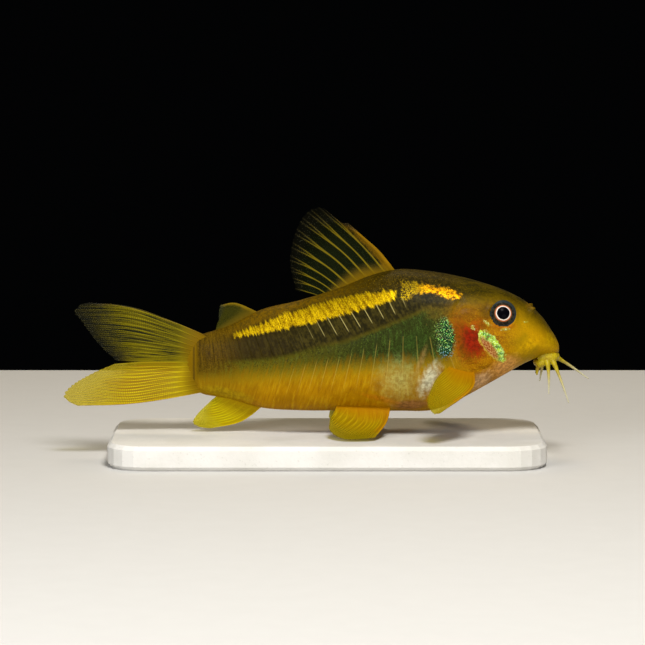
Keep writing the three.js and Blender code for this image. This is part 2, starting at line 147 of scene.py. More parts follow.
class Finish:  # one procedural material and its shader
    def __init__(self, name, settings):
        self.material = bpy.data.materials.new(name)
        self.material.use_nodes = True
        self.tree = self.material.node_tree
        self.shader = self.tree.nodes["Principled BSDF"]
        self.place = self.node("ShaderNodeTexCoord", {}, {}, "Object")
        for key, value in settings.items():
            self.shader.inputs[key].default_value = value

    def node(self, kind, settings=None, sockets=None, output=0):
        made = self.tree.nodes.new(kind)
        for key, value in (settings or {}).items():
            setattr(made, key, value)
        for key, value in (sockets or {}).items():
            if isinstance(value, Wire):
                self.tree.links.new(value.socket, made.inputs[key])
            else:
                made.inputs[key].default_value = value
        return Wire(self, made.outputs[output])

    def feed(self, key, wire):
        self.tree.links.new(wire.socket, self.shader.inputs[key])

    def mark(self, name):
        return self.node("ShaderNodeAttribute", {"attribute_name": name}, {}, "Fac")

    def noise(self, perMm, detail=3.0, rough=0.55, stretch=None):
        place = self.place
        if stretch:
            place = self.node("ShaderNodeMapping", {}, {"Vector": place, "Scale": stretch})
        sockets = {"Vector": place, "Scale": perMm / mm, "Detail": detail, "Roughness": rough}
        return self.node("ShaderNodeTexNoise", {}, sockets, 0)

    def grainAlong(self, across, along, scale, detail=3.0):  # streaks that follow two marks of the surface
        place = self.node("ShaderNodeCombineXYZ", {}, {0: across, 1: along})
        sockets = {"Vector": place, "Scale": scale, "Detail": detail, "Roughness": 0.6}
        return self.node("ShaderNodeTexNoise", {}, sockets, 0)

    def cells(self, perMm, output):
        return self.node("ShaderNodeTexVoronoi", {}, {"Vector": self.place, "Scale": perMm / mm}, output)

    def soft(self, wire, low, high):
        settings = {"interpolation_type": "SMOOTHSTEP"}
        return self.node("ShaderNodeMapRange", settings, {"Value": wire, "From Min": low, "From Max": high})

    def blend(self, factor, first, second):
        settings = {"data_type": "RGBA"}
        return self.node("ShaderNodeMix", settings, {0: factor, 6: first, 7: second}, 2)

    def tinted(self, first, second):
        settings = {"data_type": "RGBA", "blend_type": "MULTIPLY"}
        return self.node("ShaderNodeMix", settings, {0: 1.0, 6: first, 7: second}, 2)

    def bump(self, height, depthMm):
        return self.node("ShaderNodeBump", {}, {"Height": height, "Distance": depthMm * mm, "Strength": 1.0})


def joined(node):  # a node's name as one word, such as eyeLeft
    first, *rest = node.split("_")
    return first + "".join(word.capitalize() for word in rest)


def colour(red, green, blue):
    return (red, green, blue, 1.0)


# The body's form, with the same stations as the solids:
# [x, back z, belly z, half width, height share of the widest point, upper fullness, lower fullness]
body = {
    "stations": [
        [-18.2, 15.0, 8.5, 0.02, 0.5, 2.0, 2.0],
        [-17.5, 15.0, 8.5, 0.34, 0.5, 2.0, 2.0],
        [-16.6, 15.1, 8.25, 0.82, 0.5, 2.0, 2.0],
        [-15.1, 15.5, 7.7, 1.5, 0.5, 2.0, 2.1],
        [-12.1, 16.5, 7.2, 2.2, 0.49, 2.0, 2.2],
        [-8.1, 18.45, 6.1, 3.1, 0.46, 2.0, 2.3],
        [-3.4, 19.6, 5.8, 4.1, 0.44, 1.95, 2.4],
        [1.6, 21.2, 5.8, 4.9, 0.43, 1.9, 2.5],
        [5.6, 22.8, 5.8, 5.5, 0.42, 1.9, 2.6],
        [9.1, 23.5, 5.8, 5.9, 0.42, 1.95, 2.6],
        [13.1, 23.2, 5.9, 6.0, 0.42, 2.1, 2.6],
        [16.4, 22.6, 7.2, 5.8, 0.41, 2.2, 2.6],
        [19.4, 21.8, 8.8, 5.4, 0.4, 2.3, 2.5],
        [22.25, 20.8, 10.4, 4.8, 0.4, 2.35, 2.4],
        [24.75, 19.5, 11.8, 4.0, 0.4, 2.3, 2.3],
        [26.8, 17.6, 12.6, 3.1, 0.42, 2.2, 2.2],
        [28.0, 15.9, 12.7, 2.35, 0.44, 2.1, 2.1],
        [28.65, 14.8, 12.8, 1.6, 0.46, 2.0, 2.0],
        [28.95, 14.1, 13.1, 0.8, 0.48, 2.0, 2.0],
        [29.0, 13.65, 13.5, 0.1, 0.5, 2.0, 2.0],
    ],
    "columns": 232,
    "headRows": 130,
    "scutes": 23,
    "frontX": 15.6,
    "rearX": -16.2,
    "taper": 0.3,
    "lift": 0.045,  # how far a scute's rear edge stands proud
    "plateSteps": [0, 0.1, 0.25, 0.4, 0.55, 0.7, 0.82, 0.9, 0.95, 0.985],
    "plateRise": [[0, 0], [0.9, 1], [0.95, 0.93], [0.985, 0.35], [1, 0]],
    "seam": 0.02,  # half the width over which the scutes rise beside the lateral line
    "plateTop": (0.93, 0.995),
    "plateLow": (0.02, 0.12),
    "upperEnd": (8.0, 11.5),  # where the scutes flatten towards the head
    "lowerEnd": (10.0, 13.0),
    "rearFade": (-16, -5),
    "upperFlatter": 0.75,  # how much flatter the scutes are from the gold stripe upwards
    "straightFrom": 27,  # sections ahead of this aren't leaned
    "lateralShare": [[-16.6, 0.46], [-8, 0.49], [0, 0.55], [9, 0.6], [16, 0.6], [29, 0.6]],
    "backLean": [
        [-16.6, 0],
        [-13, -0.9],
        [-8, -2.2],
        [0, -3.2],
        [6, -3.6],
        [11, -3],
        [15.6, -0.5],
        [18, 0],
        [29, 0],
    ],
    "bellyLean": [
        [-16.6, 0],
        [-13, -0.5],
        [-8, -1.6],
        [0, -2.2],
        [6, -1.6],
        [11, 0.8],
        [15.6, 4.0],
        [20, 2.6],
        [24.5, 0.4],
        [26.5, 0],
        [29, 0],
    ],
}
stations = body["stations"]
bodyAt = curveThrough([[i, *s] for i, s in enumerate(stations)])
fineStations = np.linspace(0, len(stations) - 1, 6000)
fineX = bodyAt(fineStations)[:, 0]
lateralAt = heldCurve(body["lateralShare"])
backLeanAt = heldCurve(body["backLean"])
bellyLeanAt = heldCurve(body["bellyLean"])


def stationAt(x):
    return np.interp(x, fineX, fineStations)


def bodyPoint(station, angle):
    x, back, belly, halfWidth, share, upper, lower = np.moveaxis(bodyAt(station), -1, 0)
    c, s = np.cos(angle), np.sin(angle)
    power = 2 / np.where(s > 0, upper, lower)
    widest = belly + (back - belly) * share
    reach = np.where(s > 0, back - widest, widest - belly)
    y = halfWidth * np.sign(c) * np.abs(c) ** power
    z = widest + reach * np.sign(s) * np.abs(s) ** power
    return np.stack([x + 0 * y, y, z], -1)


def scuteEdges():
    widths = 1 - body["taper"] * np.arange(body["scutes"]) / (body["scutes"] - 1)
    widths *= (body["frontX"] - body["rearX"]) / widths.sum()
    return body["frontX"] - np.concatenate([[0], np.cumsum(widths)])


# The height at which the photograph's slight downward view shows a point of the flank
def flankHeight(points):
    rise = (points[..., 2] - lowestZ) * math.cos(viewTilt)
    return lowestZ + rise - np.abs(points[..., 1]) * math.sin(viewTilt)


def oval(x, z, long, wide, turn):
    return {"x": x, "z": z, "long": long, "wide": wide, "turn": turn}


def ovalDepth(along, height, shape):  # above 0 inside the oval, 1 at its middle
    turn = math.radians(shape["turn"])
    a = (along - shape["x"]) * math.cos(turn) + (height - shape["z"]) * math.sin(turn)
    b = (height - shape["z"]) * math.cos(turn) - (along - shape["x"]) * math.sin(turn)
    return 1 - np.sqrt((a / shape["long"]) ** 2 + (b / shape["wide"]) ** 2)


gill = {
    "cover": oval(18.3, 14.7, 3.9, 2.05, 112),
    "coverRise": 0.07,
    "rimDip": 0.05,
    "slit": [[9.5, 19.2], [11.5, 17.3], [13.5, 15.7], [16, 15.3], [18.5, 15.9], [20, 16.9]],
    "slitWidth": 0.22,
    "slitDepth": 0.12,
    "slitAlong": (14.5, 15.5),
    "slitLow": (9.3, 10.5),
    "slitTop": (19.0, 20.2),
}
gillSlit = heldCurve(gill["slit"])


eye = {
    "x": 21.7,
    "z": 18.3,
    "radius": 2.1,
    "disc": 1.55,  # radius of the part that shows
    "forward": 0.1,
    "tiltUp": 18,
    "lid": 0.12,
    "lidWidth": 0.2,
    "socketGap": 0.25,
    "rows": 64,
    "columns": 64,
    "swell": 0.03,
    "swellReach": 0.6,
    "pupil": (0.76, 0.81),
    "paleRing": (0.88, 0.94),
    "redRing": (0.98, 1.1),
    "rim": (1.36, 1.5),
    "poleGap": 0.02,
    "samples": 800,
    "irisTones": [(0.008, 0.008, 0.006), (0.04, 0.034, 0.018)],
    "rimTone": (0.022, 0.032, 0.036),
    "redTone": (0.4, 0.11, 0.03),
    "paleTone": (0.72, 0.63, 0.54),
    "pupilTone": (0.001, 0.001, 0.002),
}
nostril = {
    "x": 25.4,
    "side": 1.35,
    "arcRadius": 2.4,
    "radius": 0.45,
    "height": 0.75,
    "pitAhead": 0.42,
    "pitDepth": 0.4,
    "pitRadius": 0.26,
}


def eyeFrame():
    station = stationAt(eye["x"])
    angles = np.linspace(math.pi / 2, math.pi, eye["samples"])
    heights = bodyPoint(np.full(eye["samples"], station), angles)
    spot = heights[np.argmin(np.abs(heights[:, 2] - eye["z"]))]
    tilt = math.radians(eye["tiltUp"])
    out = np.array([eye["forward"], -math.cos(tilt), math.sin(tilt)])
    out /= np.linalg.norm(out)
    return spot - out * math.sqrt(eye["radius"] ** 2 - eye["disc"] ** 2), out


def nostrilSpot():
    station = stationAt(nostril["x"])
    return bodyPoint(np.array(station), np.array(math.pi / 2 + nostril["side"] / nostril["arcRadius"]))


eyeMiddle, eyeOut = eyeFrame()
flip = np.array([1, -1, 1])


# Skin markings, in millimetres along the body and up the flank
markings = {
    "lateral": [
        [-16.5, 11.7],
        [-12.9, 11.9],
        [-6.5, 12.4],
        [-1.1, 13.7],
        [2.4, 14.4],
        [8.75, 16.8],
        [12, 18.2],
    ],
    "stripeTop": [
        [-12.2, 15.1],
        [-11, 15.6],
        [-9.6, 16.1],
        [-7.6, 16.9],
        [-4.25, 18.15],
        [2.4, 20.0],
        [6.6, 20.6],
        [8.5, 20.65],
    ],
    "stripeLow": [
        [-12.2, 14.6],
        [-11, 14.9],
        [-8.4, 15.25],
        [-4.1, 16.1],
        [-0.25, 17.05],
        [3.6, 18.0],
        [8.5, 19.5],
    ],
    "stripeEnds": (-11.6, 8.5),
    "collarTop": [[8.9, 22.1], [10.4, 22.0], [13.1, 21.5], [15.25, 21.1], [16.7, 20.3]],
    "collarLow": [[8.9, 19.3], [10.2, 19.4], [11.3, 20.1], [13.1, 20.1], [15.25, 19.5], [16.7, 19.5]],
    "collarEnds": (8.9, 16.8),
    "greenLow": [[-16.5, 11.2], [-8.4, 11.0], [0.25, 11.8], [6.6, 12.2], [11, 12.3], [16, 12.9]],
    "crownLow": [[13, 20.6], [16.5, 20.4], [19, 20.5], [21.5, 20.4], [24, 19.6], [26, 18.2], [28, 16.6]],
    "patch": oval(14.45, 14.9, 2.8, 1.5, 96),
    "cheek": oval(20.35, 13.8, 2.6, 1.05, 130),
    "cheekTopShift": (0.45, 0.4),
    "glints": [
        oval(18.0, 16.1, 0.55, 0.4, 110),
        oval(19.8, 16.6, 0.9, 0.35, -35),
        oval(22.0, 15.9, 1.0, 0.22, 4),
        oval(24.6, 16.8, 0.6, 0.15, 0),
    ],
}
# Tints on the skin: [x, height, long, wide, turn, strength, softness, colour]
tints = [
    [9.0, 9.6, 4.0, 4.0, 75, 0.65, 1.2, (0.31, 0.32, 0.1)],  # pale belly
    [11.6, 12.0, 2.8, 0.55, 72, 0.5, 0.8, (0.26, 0.15, 0.04)],
    [12.6, 9.6, 3.2, 1.5, 62, 0.9, 0.85, (0.47, 0.45, 0.3)],  # cream skin behind the pectoral fin
    [10.4, 6.5, 3.0, 0.9, 4, 0.8, 0.6, (0.24, 0.1, 0.03)],
    [6.6, 7.3, 3.4, 0.5, -14, 0.5, 0.7, (0.4, 0.13, 0.003)],
    [-12.5, 7.9, 4.6, 0.9, -12, 0.6, 0.7, (0.3, 0.21, 0.003)],
    [10.6, 14.4, 3.6, 1.9, 24, 0.45, 1.0, (0.018, 0.045, 0.006)],
    [13.6, 18.0, 2.4, 1.6, 0, 0.6, 0.8, (0.09, 0.06, 0.005)],
    [16.7, 14.7, 4.0, 1.7, 108, 0.9, 0.6, (0.17, 0.04, 0.001)],
    [18.15, 14.5, 3.2, 2.0, 110, 0.95, 0.65, (0.2, 0.008, 0.001)],  # red gill cover
    [18.8, 16.6, 1.8, 1.0, 20, 0.7, 0.9, (0.26, 0.05, 0.001)],
    [21.8, 16.3, 2.2, 0.6, 0, 0.7, 0.8, (0.48, 0.13, 0.003)],
    [22.0, 11.3, 3.0, 1.5, 28, 0.8, 0.9, (0.62, 0.3, 0.08)],  # throat
    [19.0, 9.5, 2.4, 1.2, 35, 0.85, 0.8, (0.55, 0.33, 0.15)],
    [25.0, 13.9, 2.8, 1.3, 32, 0.6, 1.0, (0.54, 0.3, 0.001)],
    [17.2, 17.8, 2.7, 1.6, 0, 0.75, 1.0, (0.14, 0.05, 0.0005)],
    [19.6, 16.2, 1.4, 1.0, 0, 0.5, 0.9, (0.17, 0.06, 0.001)],
    [19.7, 18.0, 1.8, 1.4, 90, 0.8, 0.8, (0.08, 0.04, 0.0005)],  # dark skin behind the eye
    [21.2, 16.2, 1.6, 0.8, 0, 0.4, 0.9, (0.2, 0.08, 0.002)],
    [25.4, 18.9, 0.9, 0.8, 0, 0.8, 0.7, (0.16, 0.085, 0.001)],  # nostril
    [27.6, 14.2, 2.2, 1.6, 60, 0.6, 1.0, (0.36, 0.22, 0.001)],
]


def stripDepth(along, height, top, low, ends):
    inside = np.minimum(heldCurve(top)(along) - height, height - heldCurve(low)(along))
    return np.minimum(inside, np.minimum(along - ends[0], ends[1] - along))


def skinMarks(points, plate):
    along = points[..., 0]
    height = flankHeight(points)
    m = markings
    shift = m["cheekTopShift"]
    depth = {
        "stripe": stripDepth(along, height, m["stripeTop"], m["stripeLow"], m["stripeEnds"]),
        "collar": stripDepth(along, height, m["collarTop"], m["collarLow"], m["collarEnds"]),
        "aboveLine": height - heldCurve(m["lateral"])(along),
        "aboveStripe": height - heldCurve(m["stripeTop"] + m["collarTop"][1:])(along),
        "aboveGreen": height - heldCurve(m["greenLow"])(along),
        "along": along,
        "height": height,
        "plate": plate,
        "aboveLow": height - heldCurve(m["stripeLow"])(along),
        "gill": along - gillSlit(height),
        "crown": height - heldCurve(m["crownLow"])(along),
        "patch": ovalDepth(along, height, m["patch"]),
        "cheek": ovalDepth(along, height, m["cheek"]),
        "cheekTop": ovalDepth(along + shift[0], height + shift[1], m["cheek"]),
        "glint": np.max([ovalDepth(along, height, glint) for glint in m["glints"]], axis=0),
    }
    for i, tint in enumerate(tints):
        depth["tint" + str(i)] = ovalDepth(along, height, oval(*tint[:5]))
    return depth


def skinGrid():
    edges = scuteEdges()
    plates = (np.arange(body["scutes"])[:, None] + np.array(body["plateSteps"])).ravel()
    trunkX = np.interp(plates, np.arange(body["scutes"] + 1), edges)
    tailX = np.linspace(body["rearX"], stations[0][0] + 0.05, 9)
    share = np.linspace(0, 1, body["headRows"], endpoint=False)
    tip = len(stations) - 1.02
    headStations = tip + share * (stationAt(body["frontX"]) - tip)
    headX = np.interp(headStations, fineStations, fineX)
    x = np.concatenate([headX, trunkX, tailX])
    straight = np.concatenate([headStations, stationAt(trunkX), stationAt(tailX)])
    plate = np.concatenate([np.full(len(headX), -1.0), plates, np.full(len(tailX), body["scutes"])])
    return x, straight, plate


def onNearSide(points):  # the left flank's points, mirrored to the right
    return points * np.where(points[..., 1:2] > 0, flip, 1)


# Scutes rise to a free rear edge, and fade at the seam, the back and the belly
def plateLift(x, plate, share, points, moved):
    line = lateralAt(x)[:, None]
    saw = np.interp(np.clip(plate, 0, None) % 1, *np.array(body["plateRise"]).T)
    saw[plate < 0] = 0
    saw[plate >= body["scutes"]] = 0
    proud = smooth(np.abs(share - line), 0, body["seam"] * 2)
    proud = np.minimum(proud, 1 - smooth(share, *body["plateTop"]))
    proud = np.minimum(proud, smooth(share, *body["plateLow"]))
    upper = 1 - smooth(moved, *body["upperEnd"])
    lower = 1 - smooth(moved, *body["lowerEnd"])
    along = points[..., 0]
    aboveLow = flankHeight(points) - heldCurve(markings["stripeLow"])(along)
    plain = np.where(share > line, upper, lower) * (1 - body["upperFlatter"] * smooth(aboveLow, -0.6, 0.1))
    plain = plain * (0.35 + 0.65 * smooth(along, *body["rearFade"]))
    return saw[:, None] * proud, plain


def headLift(points):  # gill slit and cover, nostrils and the rim round each eye
    along = points[..., 0]
    height = flankHeight(points)
    cover = ovalDepth(along, height, gill["cover"])
    onHead = smooth(along, *gill["slitAlong"]) * smooth(height, *gill["slitLow"])
    onHead = onHead * (1 - smooth(height, *gill["slitTop"]))
    lift = -gill["slitDepth"] * np.exp(-(((along - gillSlit(height)) / gill["slitWidth"]) ** 2)) * onHead
    lift += gill["coverRise"] * smooth(cover, -0.05, 0.15)
    lift -= gill["rimDip"] * np.exp(-(((cover + 0.02) / 0.04) ** 2))
    offset = onNearSide(points) - nostrilSpot()
    lift += nostril["height"] * np.exp(-((np.linalg.norm(offset, axis=-1) / nostril["radius"]) ** 2))
    offset[..., 0] -= nostril["pitAhead"]
    lift -= nostril["pitDepth"] * np.exp(-((np.linalg.norm(offset, axis=-1) / nostril["pitRadius"]) ** 2))
    reach, away = fromEye(points)
    lid = np.exp(-(((away - eye["disc"] - eye["lidWidth"]) / eye["lidWidth"]) ** 2))
    return lift + eye["lid"] * lid * (reach > 0)


def fromEye(points):  # how far out from the eye's middle, and how far from the line through it
    offset = onNearSide(points) - eyeMiddle
    reach = (offset * eyeOut).sum(-1)
    return reach, np.linalg.norm(offset - reach[..., None] * eyeOut, axis=-1)


def behindEyeball(points, away):  # the skin dips behind the eyeball
    reach, _ = fromEye(points)
    ball = np.sqrt(np.maximum(eye["radius"] ** 2 - away**2, 0)) - eye["socketGap"]
    sink = np.where((away < eye["disc"]) & (reach > 0), np.maximum(reach - ball, 0), 0)
    inward = eyeOut * np.where(points[..., 1:2] > 0, flip, 1)
    return points - inward * sink[..., None]


def addSkin(material):
    x, straight, plate = skinGrid()
    angle = np.linspace(0, 2 * math.pi, body["columns"], endpoint=False)
    station, turn = np.meshgrid(straight, angle, indexing="ij")
    level = bodyPoint(station, turn)
    section = bodyAt(straight)
    share = (level[..., 2] - section[:, None, 2]) / (section[:, None, 1] - section[:, None, 2])
    line = lateralAt(x)[:, None]
    rise = np.clip((share - line) / (1 - line), 0, 1)
    drop = np.clip((line - share) / line, 0, 1)
    moved = x[:, None] + backLeanAt(x)[:, None] * rise + bellyLeanAt(x)[:, None] * drop
    leaned = stationAt(moved)
    tip = x > body["straightFrom"]
    leaned[tip] = station[tip]
    points = bodyPoint(leaned, turn)
    wide = np.concatenate([points[:, -2:], points, points[:, :2]], 1)
    normals = gridNormals(wide)[:, 2:-2]
    normals *= np.sign((normals * (points - points.mean(1, keepdims=True))).sum())
    saw, plain = plateLift(x, plate, share, points, moved)
    _, away = fromEye(points)
    points = points + normals * (body["lift"] * saw * plain + headLift(points))[..., None]
    points = behindEyeball(points, away)

    rows, columns = points.shape[:2]
    marks = skinMarks(points, np.repeat(plate[:, None], columns, 1))
    marks["saw"] = saw
    flat = np.concatenate([points.reshape(-1, 3), [points[0].mean(0), points[-1].mean(0)]])
    faces = tubeFaces(rows, columns)
    marks = {k: np.concatenate([v.ravel(), [v[0].mean(), v[-1].mean()]]) for k, v in marks.items()}
    nodes = ("head", "torso", "tail_stalk", "gill_cover_right", "gill_cover_left")
    return addMesh("skin", flat, faces, marks, material, "skin", nodes)


skinLook = {
    "surface": {"Specular IOR Level": 0.03, "Coat Roughness": 0.12, "Coat IOR": 1.25, "Coat Weight": 0.02},
    "grain": (2.2, 4, 0.65),  # cells for each millimetre, detail and roughness of a noise
    "fine": (7.0, 2, 0.6),
    "broad": (0.35, 3, 0.5),
    "streak": (1.2, 3, 0.6, (0.3, 1, 1)),
    "wobble": 1.6,  # how far the edges of the markings wander
    "glitterCells": 6.5,
    "poreCells": 3.2,
    "tintSpread": (0.62, 1.25),
    "depth": 0.035,
}
skinTones = {
    "bellyGold": (0.36, 0.175, 0.0005),
    "bellyShade": (0.28, 0.13, 0.0005),
    "bellyOlive": (0.23, 0.16, 0.002),
    "bellyPale": (0.46, 0.27, 0.004),
    "bellyDark": (0.22, 0.09, 0.0005),
    "bellyRear": (0.17, 0.1, 0.002),
    "greenRear": (0.075, 0.062, 0.002),
    "greenFront": (0.022, 0.028, 0.004),
    "mossRear": (0.085, 0.094, 0.009),
    "mossFront": (0.056, 0.106, 0.014),
    "greenSpeck": (0.012, 0.014, 0.002),
    "bandDark": (0.012, 0.0095, 0.0012),
    "bandLight": (0.042, 0.032, 0.004),
    "bandHem": (0.085, 0.066, 0.003),
    "bandRear": (0.028, 0.016, 0.001),
    "backRear": (0.115, 0.06, 0.001),
    "backFront": (0.017, 0.0115, 0.0003),
    "backMottle": (0.04, 0.027, 0.003),
    "backSpeck": (0.2, 0.12, 0.002),
    "barkDark": (0.04, 0.021, 0.0006),
    "barkLight": (0.11, 0.062, 0.002),
    "edgeDark": (0.012, 0.009, 0.002),
    "edgePale": (0.36, 0.3, 0.1),
    "edgeLow": (0.44, 0.33, 0.06),
    "crownLight": (0.05, 0.034, 0.0005),
    "crownDark": (0.018, 0.014, 0.0005),
    "crownSpeck": (0.13, 0.08, 0.001),
    "snoutLight": (0.4, 0.215, 0.001),
    "snoutShade": (0.28, 0.17, 0.001),
    "snoutSpeck": (0.22, 0.12, 0.001),
    "cheekOrange": (0.3, 0.12, 0.001),
    "cheekShade": (0.19, 0.07, 0.001),
    "cheekSpeck": (0.46, 0.24, 0.002),
    "oliveDark": (0.1, 0.06, 0.001),
    "oliveLight": (0.17, 0.1, 0.001),
    "tailRoot": (0.18, 0.1, 0.001),
    "tailLine": (0.07, 0.04, 0.003),
    "metalDark": (0.2, 0.105, 0.001),
    "metalLight": (0.6, 0.4, 0.003),
    "amberDark": (0.14, 0.05, 0.001),
    "amberLight": (0.64, 0.31, 0.002),
    "amberRear": (0.07, 0.045, 0.002),
    "sparkGrey": (0.5, 0.62, 0.5),
    "sparkGreen": (0.55, 0.95, 0.3),
    "sparkBlue": (0.3, 0.75, 0.8),
    "sparkYellow": (0.8, 0.8, 0.12),
    "glitterGap": (0.008, 0.03, 0.01),
    "emberDark": (0.2, 0.035, 0.006),
    "emberLight": (0.44, 0.24, 0.09),
    "hem": (0.42, 0.32, 0.02),
    "limeDark": (0.06, 0.2, 0.03),
    "limeLight": (0.4, 0.56, 0.04),
    "limeSpark": (0.6, 0.85, 0.35),
    "glintDark": (0.3, 0.27, 0.02),
    "glintLight": (0.7, 0.78, 0.35),
}


def skinFinish():
    f = Finish("wetSkin", skinLook["surface"])
    ink = {name: colour(*tone) for name, tone in skinTones.items()}
    grain = f.noise(*skinLook["grain"])
    fine = f.noise(*skinLook["fine"])
    broad = f.noise(*skinLook["broad"])
    streak = f.noise(*skinLook["streak"])
    wobble = (grain - 0.5) * skinLook["wobble"]
    above = f.mark("aboveLine")
    along = f.mark("along")
    height = f.mark("height")
    lines = f.grainAlong(f.mark("plate"), height * 0.13, 4.0, 2.0)
    comb = (lines - 0.5) * f.soft(along, 16, 13)
    # Belly, flank and back
    belly = f.blend(f.soft(broad, 0.35, 0.7), ink["bellyGold"], ink["bellyShade"])
    belly = f.blend(f.soft(f.mark("aboveGreen") + wobble * 0.6, -3.4, -0.4) * 0.65, belly, ink["bellyOlive"])
    belly = f.blend(f.soft(lines, 0.5, 0.68) * 0.5, belly, ink["bellyPale"])
    belly = f.blend(f.soft(lines, 0.48, 0.32) * 0.5, belly, ink["bellyDark"])
    belly = f.blend(f.soft(along, -6, -15) * 0.5, belly, ink["bellyRear"])
    green = f.blend(f.soft(along, -8, 6), ink["greenRear"], ink["greenFront"])
    bits = f.soft(fine * 0.5 + lines * 0.5, 0.48, 0.62)
    moss = f.blend(f.soft(along, -2, 9), ink["mossRear"], ink["mossFront"])
    green = f.blend(bits * 0.6, green, moss)
    green = f.blend(f.soft(grain * 0.6 + fine * 0.4, 0.5, 0.38) * 0.7, green, ink["greenSpeck"])
    band = f.blend(f.soft(grain * 0.5 + lines * 0.5, 0.42, 0.62), ink["bandDark"], ink["bandLight"])
    band = f.blend(f.soft(above, 0.6, -0.2) * f.soft(along, -4, 4) * 0.8, band, ink["bandHem"])
    band = f.blend(f.soft(along, -1, -9) * 0.5, band, ink["bandRear"])
    back = f.blend(f.soft(along, -4, 9), ink["backRear"], ink["backFront"])
    back = f.blend(f.soft(grain, 0.42, 0.62) * 0.7, back, ink["backMottle"])
    back = f.blend(f.soft(fine, 0.55, 0.7) * 0.6, back, ink["backSpeck"])
    flank = f.blend(f.soft(f.mark("aboveGreen") + wobble * 0.5 + comb * 3.0, -2.1, 0.9), belly, green)
    flank = f.blend(f.soft(above + wobble * 0.4, -0.45, 0.35), flank, band)
    flank = f.blend(f.soft(f.mark("aboveStripe") + wobble * 0.6 + comb, -0.6, 0.5), flank, back)
    stalk = f.soft(along + wobble * 2 + comb * 4, -9.5, -14.5) * f.soft(above, -2.5, -0.5)
    bark = f.blend(f.soft(lines * 0.5 + fine * 0.5, 0.36, 0.62), ink["barkDark"], ink["barkLight"])
    flank = f.blend(stalk * 0.9, flank, bark)
    # Free edges of the scutes, pale in front and dark towards the tail
    edge = f.soft(f.mark("saw"), 0.93, 0.99)
    upperEdge = edge * f.soft(above, 0.9, 1.5) * f.soft(f.mark("aboveLow"), 0.5, 0.1)
    flank = f.blend(upperEdge * f.soft(along, 0, -5) * 0.6, flank, ink["edgeDark"])
    flank = f.blend(upperEdge * f.soft(along, -4, 1) * f.soft(along, 10, 9) * 0.8, flank, ink["edgePale"])
    lowerEdge = edge * f.soft(above, -1.4, -2.2) * f.soft(f.mark("aboveGreen"), -4.0, -1.5)
    lowerEdge = lowerEdge * f.soft(along, -9, -2)
    flank = f.blend(lowerEdge * 0.26, flank, ink["edgeLow"])
    # Head
    crown = f.blend(f.soft(streak, 0.4, 0.62), ink["crownLight"], ink["crownDark"])
    crown = f.blend(f.soft(fine, 0.52, 0.68) * 0.6, crown, ink["crownSpeck"])
    snout = f.blend(f.soft(broad, 0.4, 0.65), ink["snoutLight"], ink["snoutShade"])
    snout = f.blend(f.soft(fine, 0.5, 0.35) * 0.4, snout, ink["snoutSpeck"])
    cheekBase = f.blend(f.soft(streak, 0.42, 0.62), ink["cheekOrange"], ink["cheekShade"])
    cheekBase = f.blend(f.soft(fine, 0.5, 0.62) * 0.6, cheekBase, ink["cheekSpeck"])
    face = f.blend(f.soft(along + wobble, 20.5, 25), cheekBase, snout)
    olive = f.blend(f.soft(grain, 0.4, 0.6), ink["oliveDark"], ink["oliveLight"])
    face = f.blend(f.soft(f.mark("crown") + wobble * 0.6, -3.4, -0.8), face, olive)
    face = f.blend(f.soft(f.mark("crown") + wobble * 0.7, -1.8, 0.3), face, crown)
    skin = f.blend(f.soft(f.mark("gill") + wobble * 1.2, -2.4, 1.0), flank, face)
    low, high = skinLook["tintSpread"]
    for i, (*_, strength, softness, middle) in enumerate(tints):
        inside = f.soft(f.mark("tint" + str(i)) + wobble * 0.3 + comb * 0.6, 0.0, softness) * strength
        dark = colour(*[v * low for v in middle])
        light = colour(*[v * high for v in middle])
        skin = f.blend(inside, skin, f.blend(f.soft(grain, 0.35, 0.65), dark, light))
    # The tail's root, past a fine dark line
    skin = f.blend(f.soft(along + wobble * 0.2, -15.9, -16.6), skin, ink["tailRoot"])
    line = f.soft(along + wobble * 0.1, -16.85, -16.65) * f.soft(along + wobble * 0.1, -16.4, -16.6)
    skin = f.blend(line * 0.8, skin, ink["tailLine"])
    # Metallic stripe and its front piece
    gold = f.soft(f.mark("stripe") + wobble * 0.3 + comb * 1.3, -0.15, 0.35)
    collar = f.soft(f.mark("collar") + wobble * 0.9, 0.0, 0.5)
    collar = collar * (1 - f.soft(along, 11.5, 10.0) * f.soft(fine, 0.54, 0.46))
    metal = f.blend(f.soft(fine * 0.5 + lines * 0.5, 0.38, 0.62), ink["metalDark"], ink["metalLight"])
    skin = f.blend(gold, skin, metal)
    amber = f.blend(f.soft(fine * 0.5 + grain * 0.5, 0.4, 0.6), ink["amberDark"], ink["amberLight"])
    amber = f.blend(f.soft(along + wobble, 13.0, 11.0), amber, f.blend(0.6, metal, ink["amberRear"]))
    skin = f.blend(collar, skin, amber)
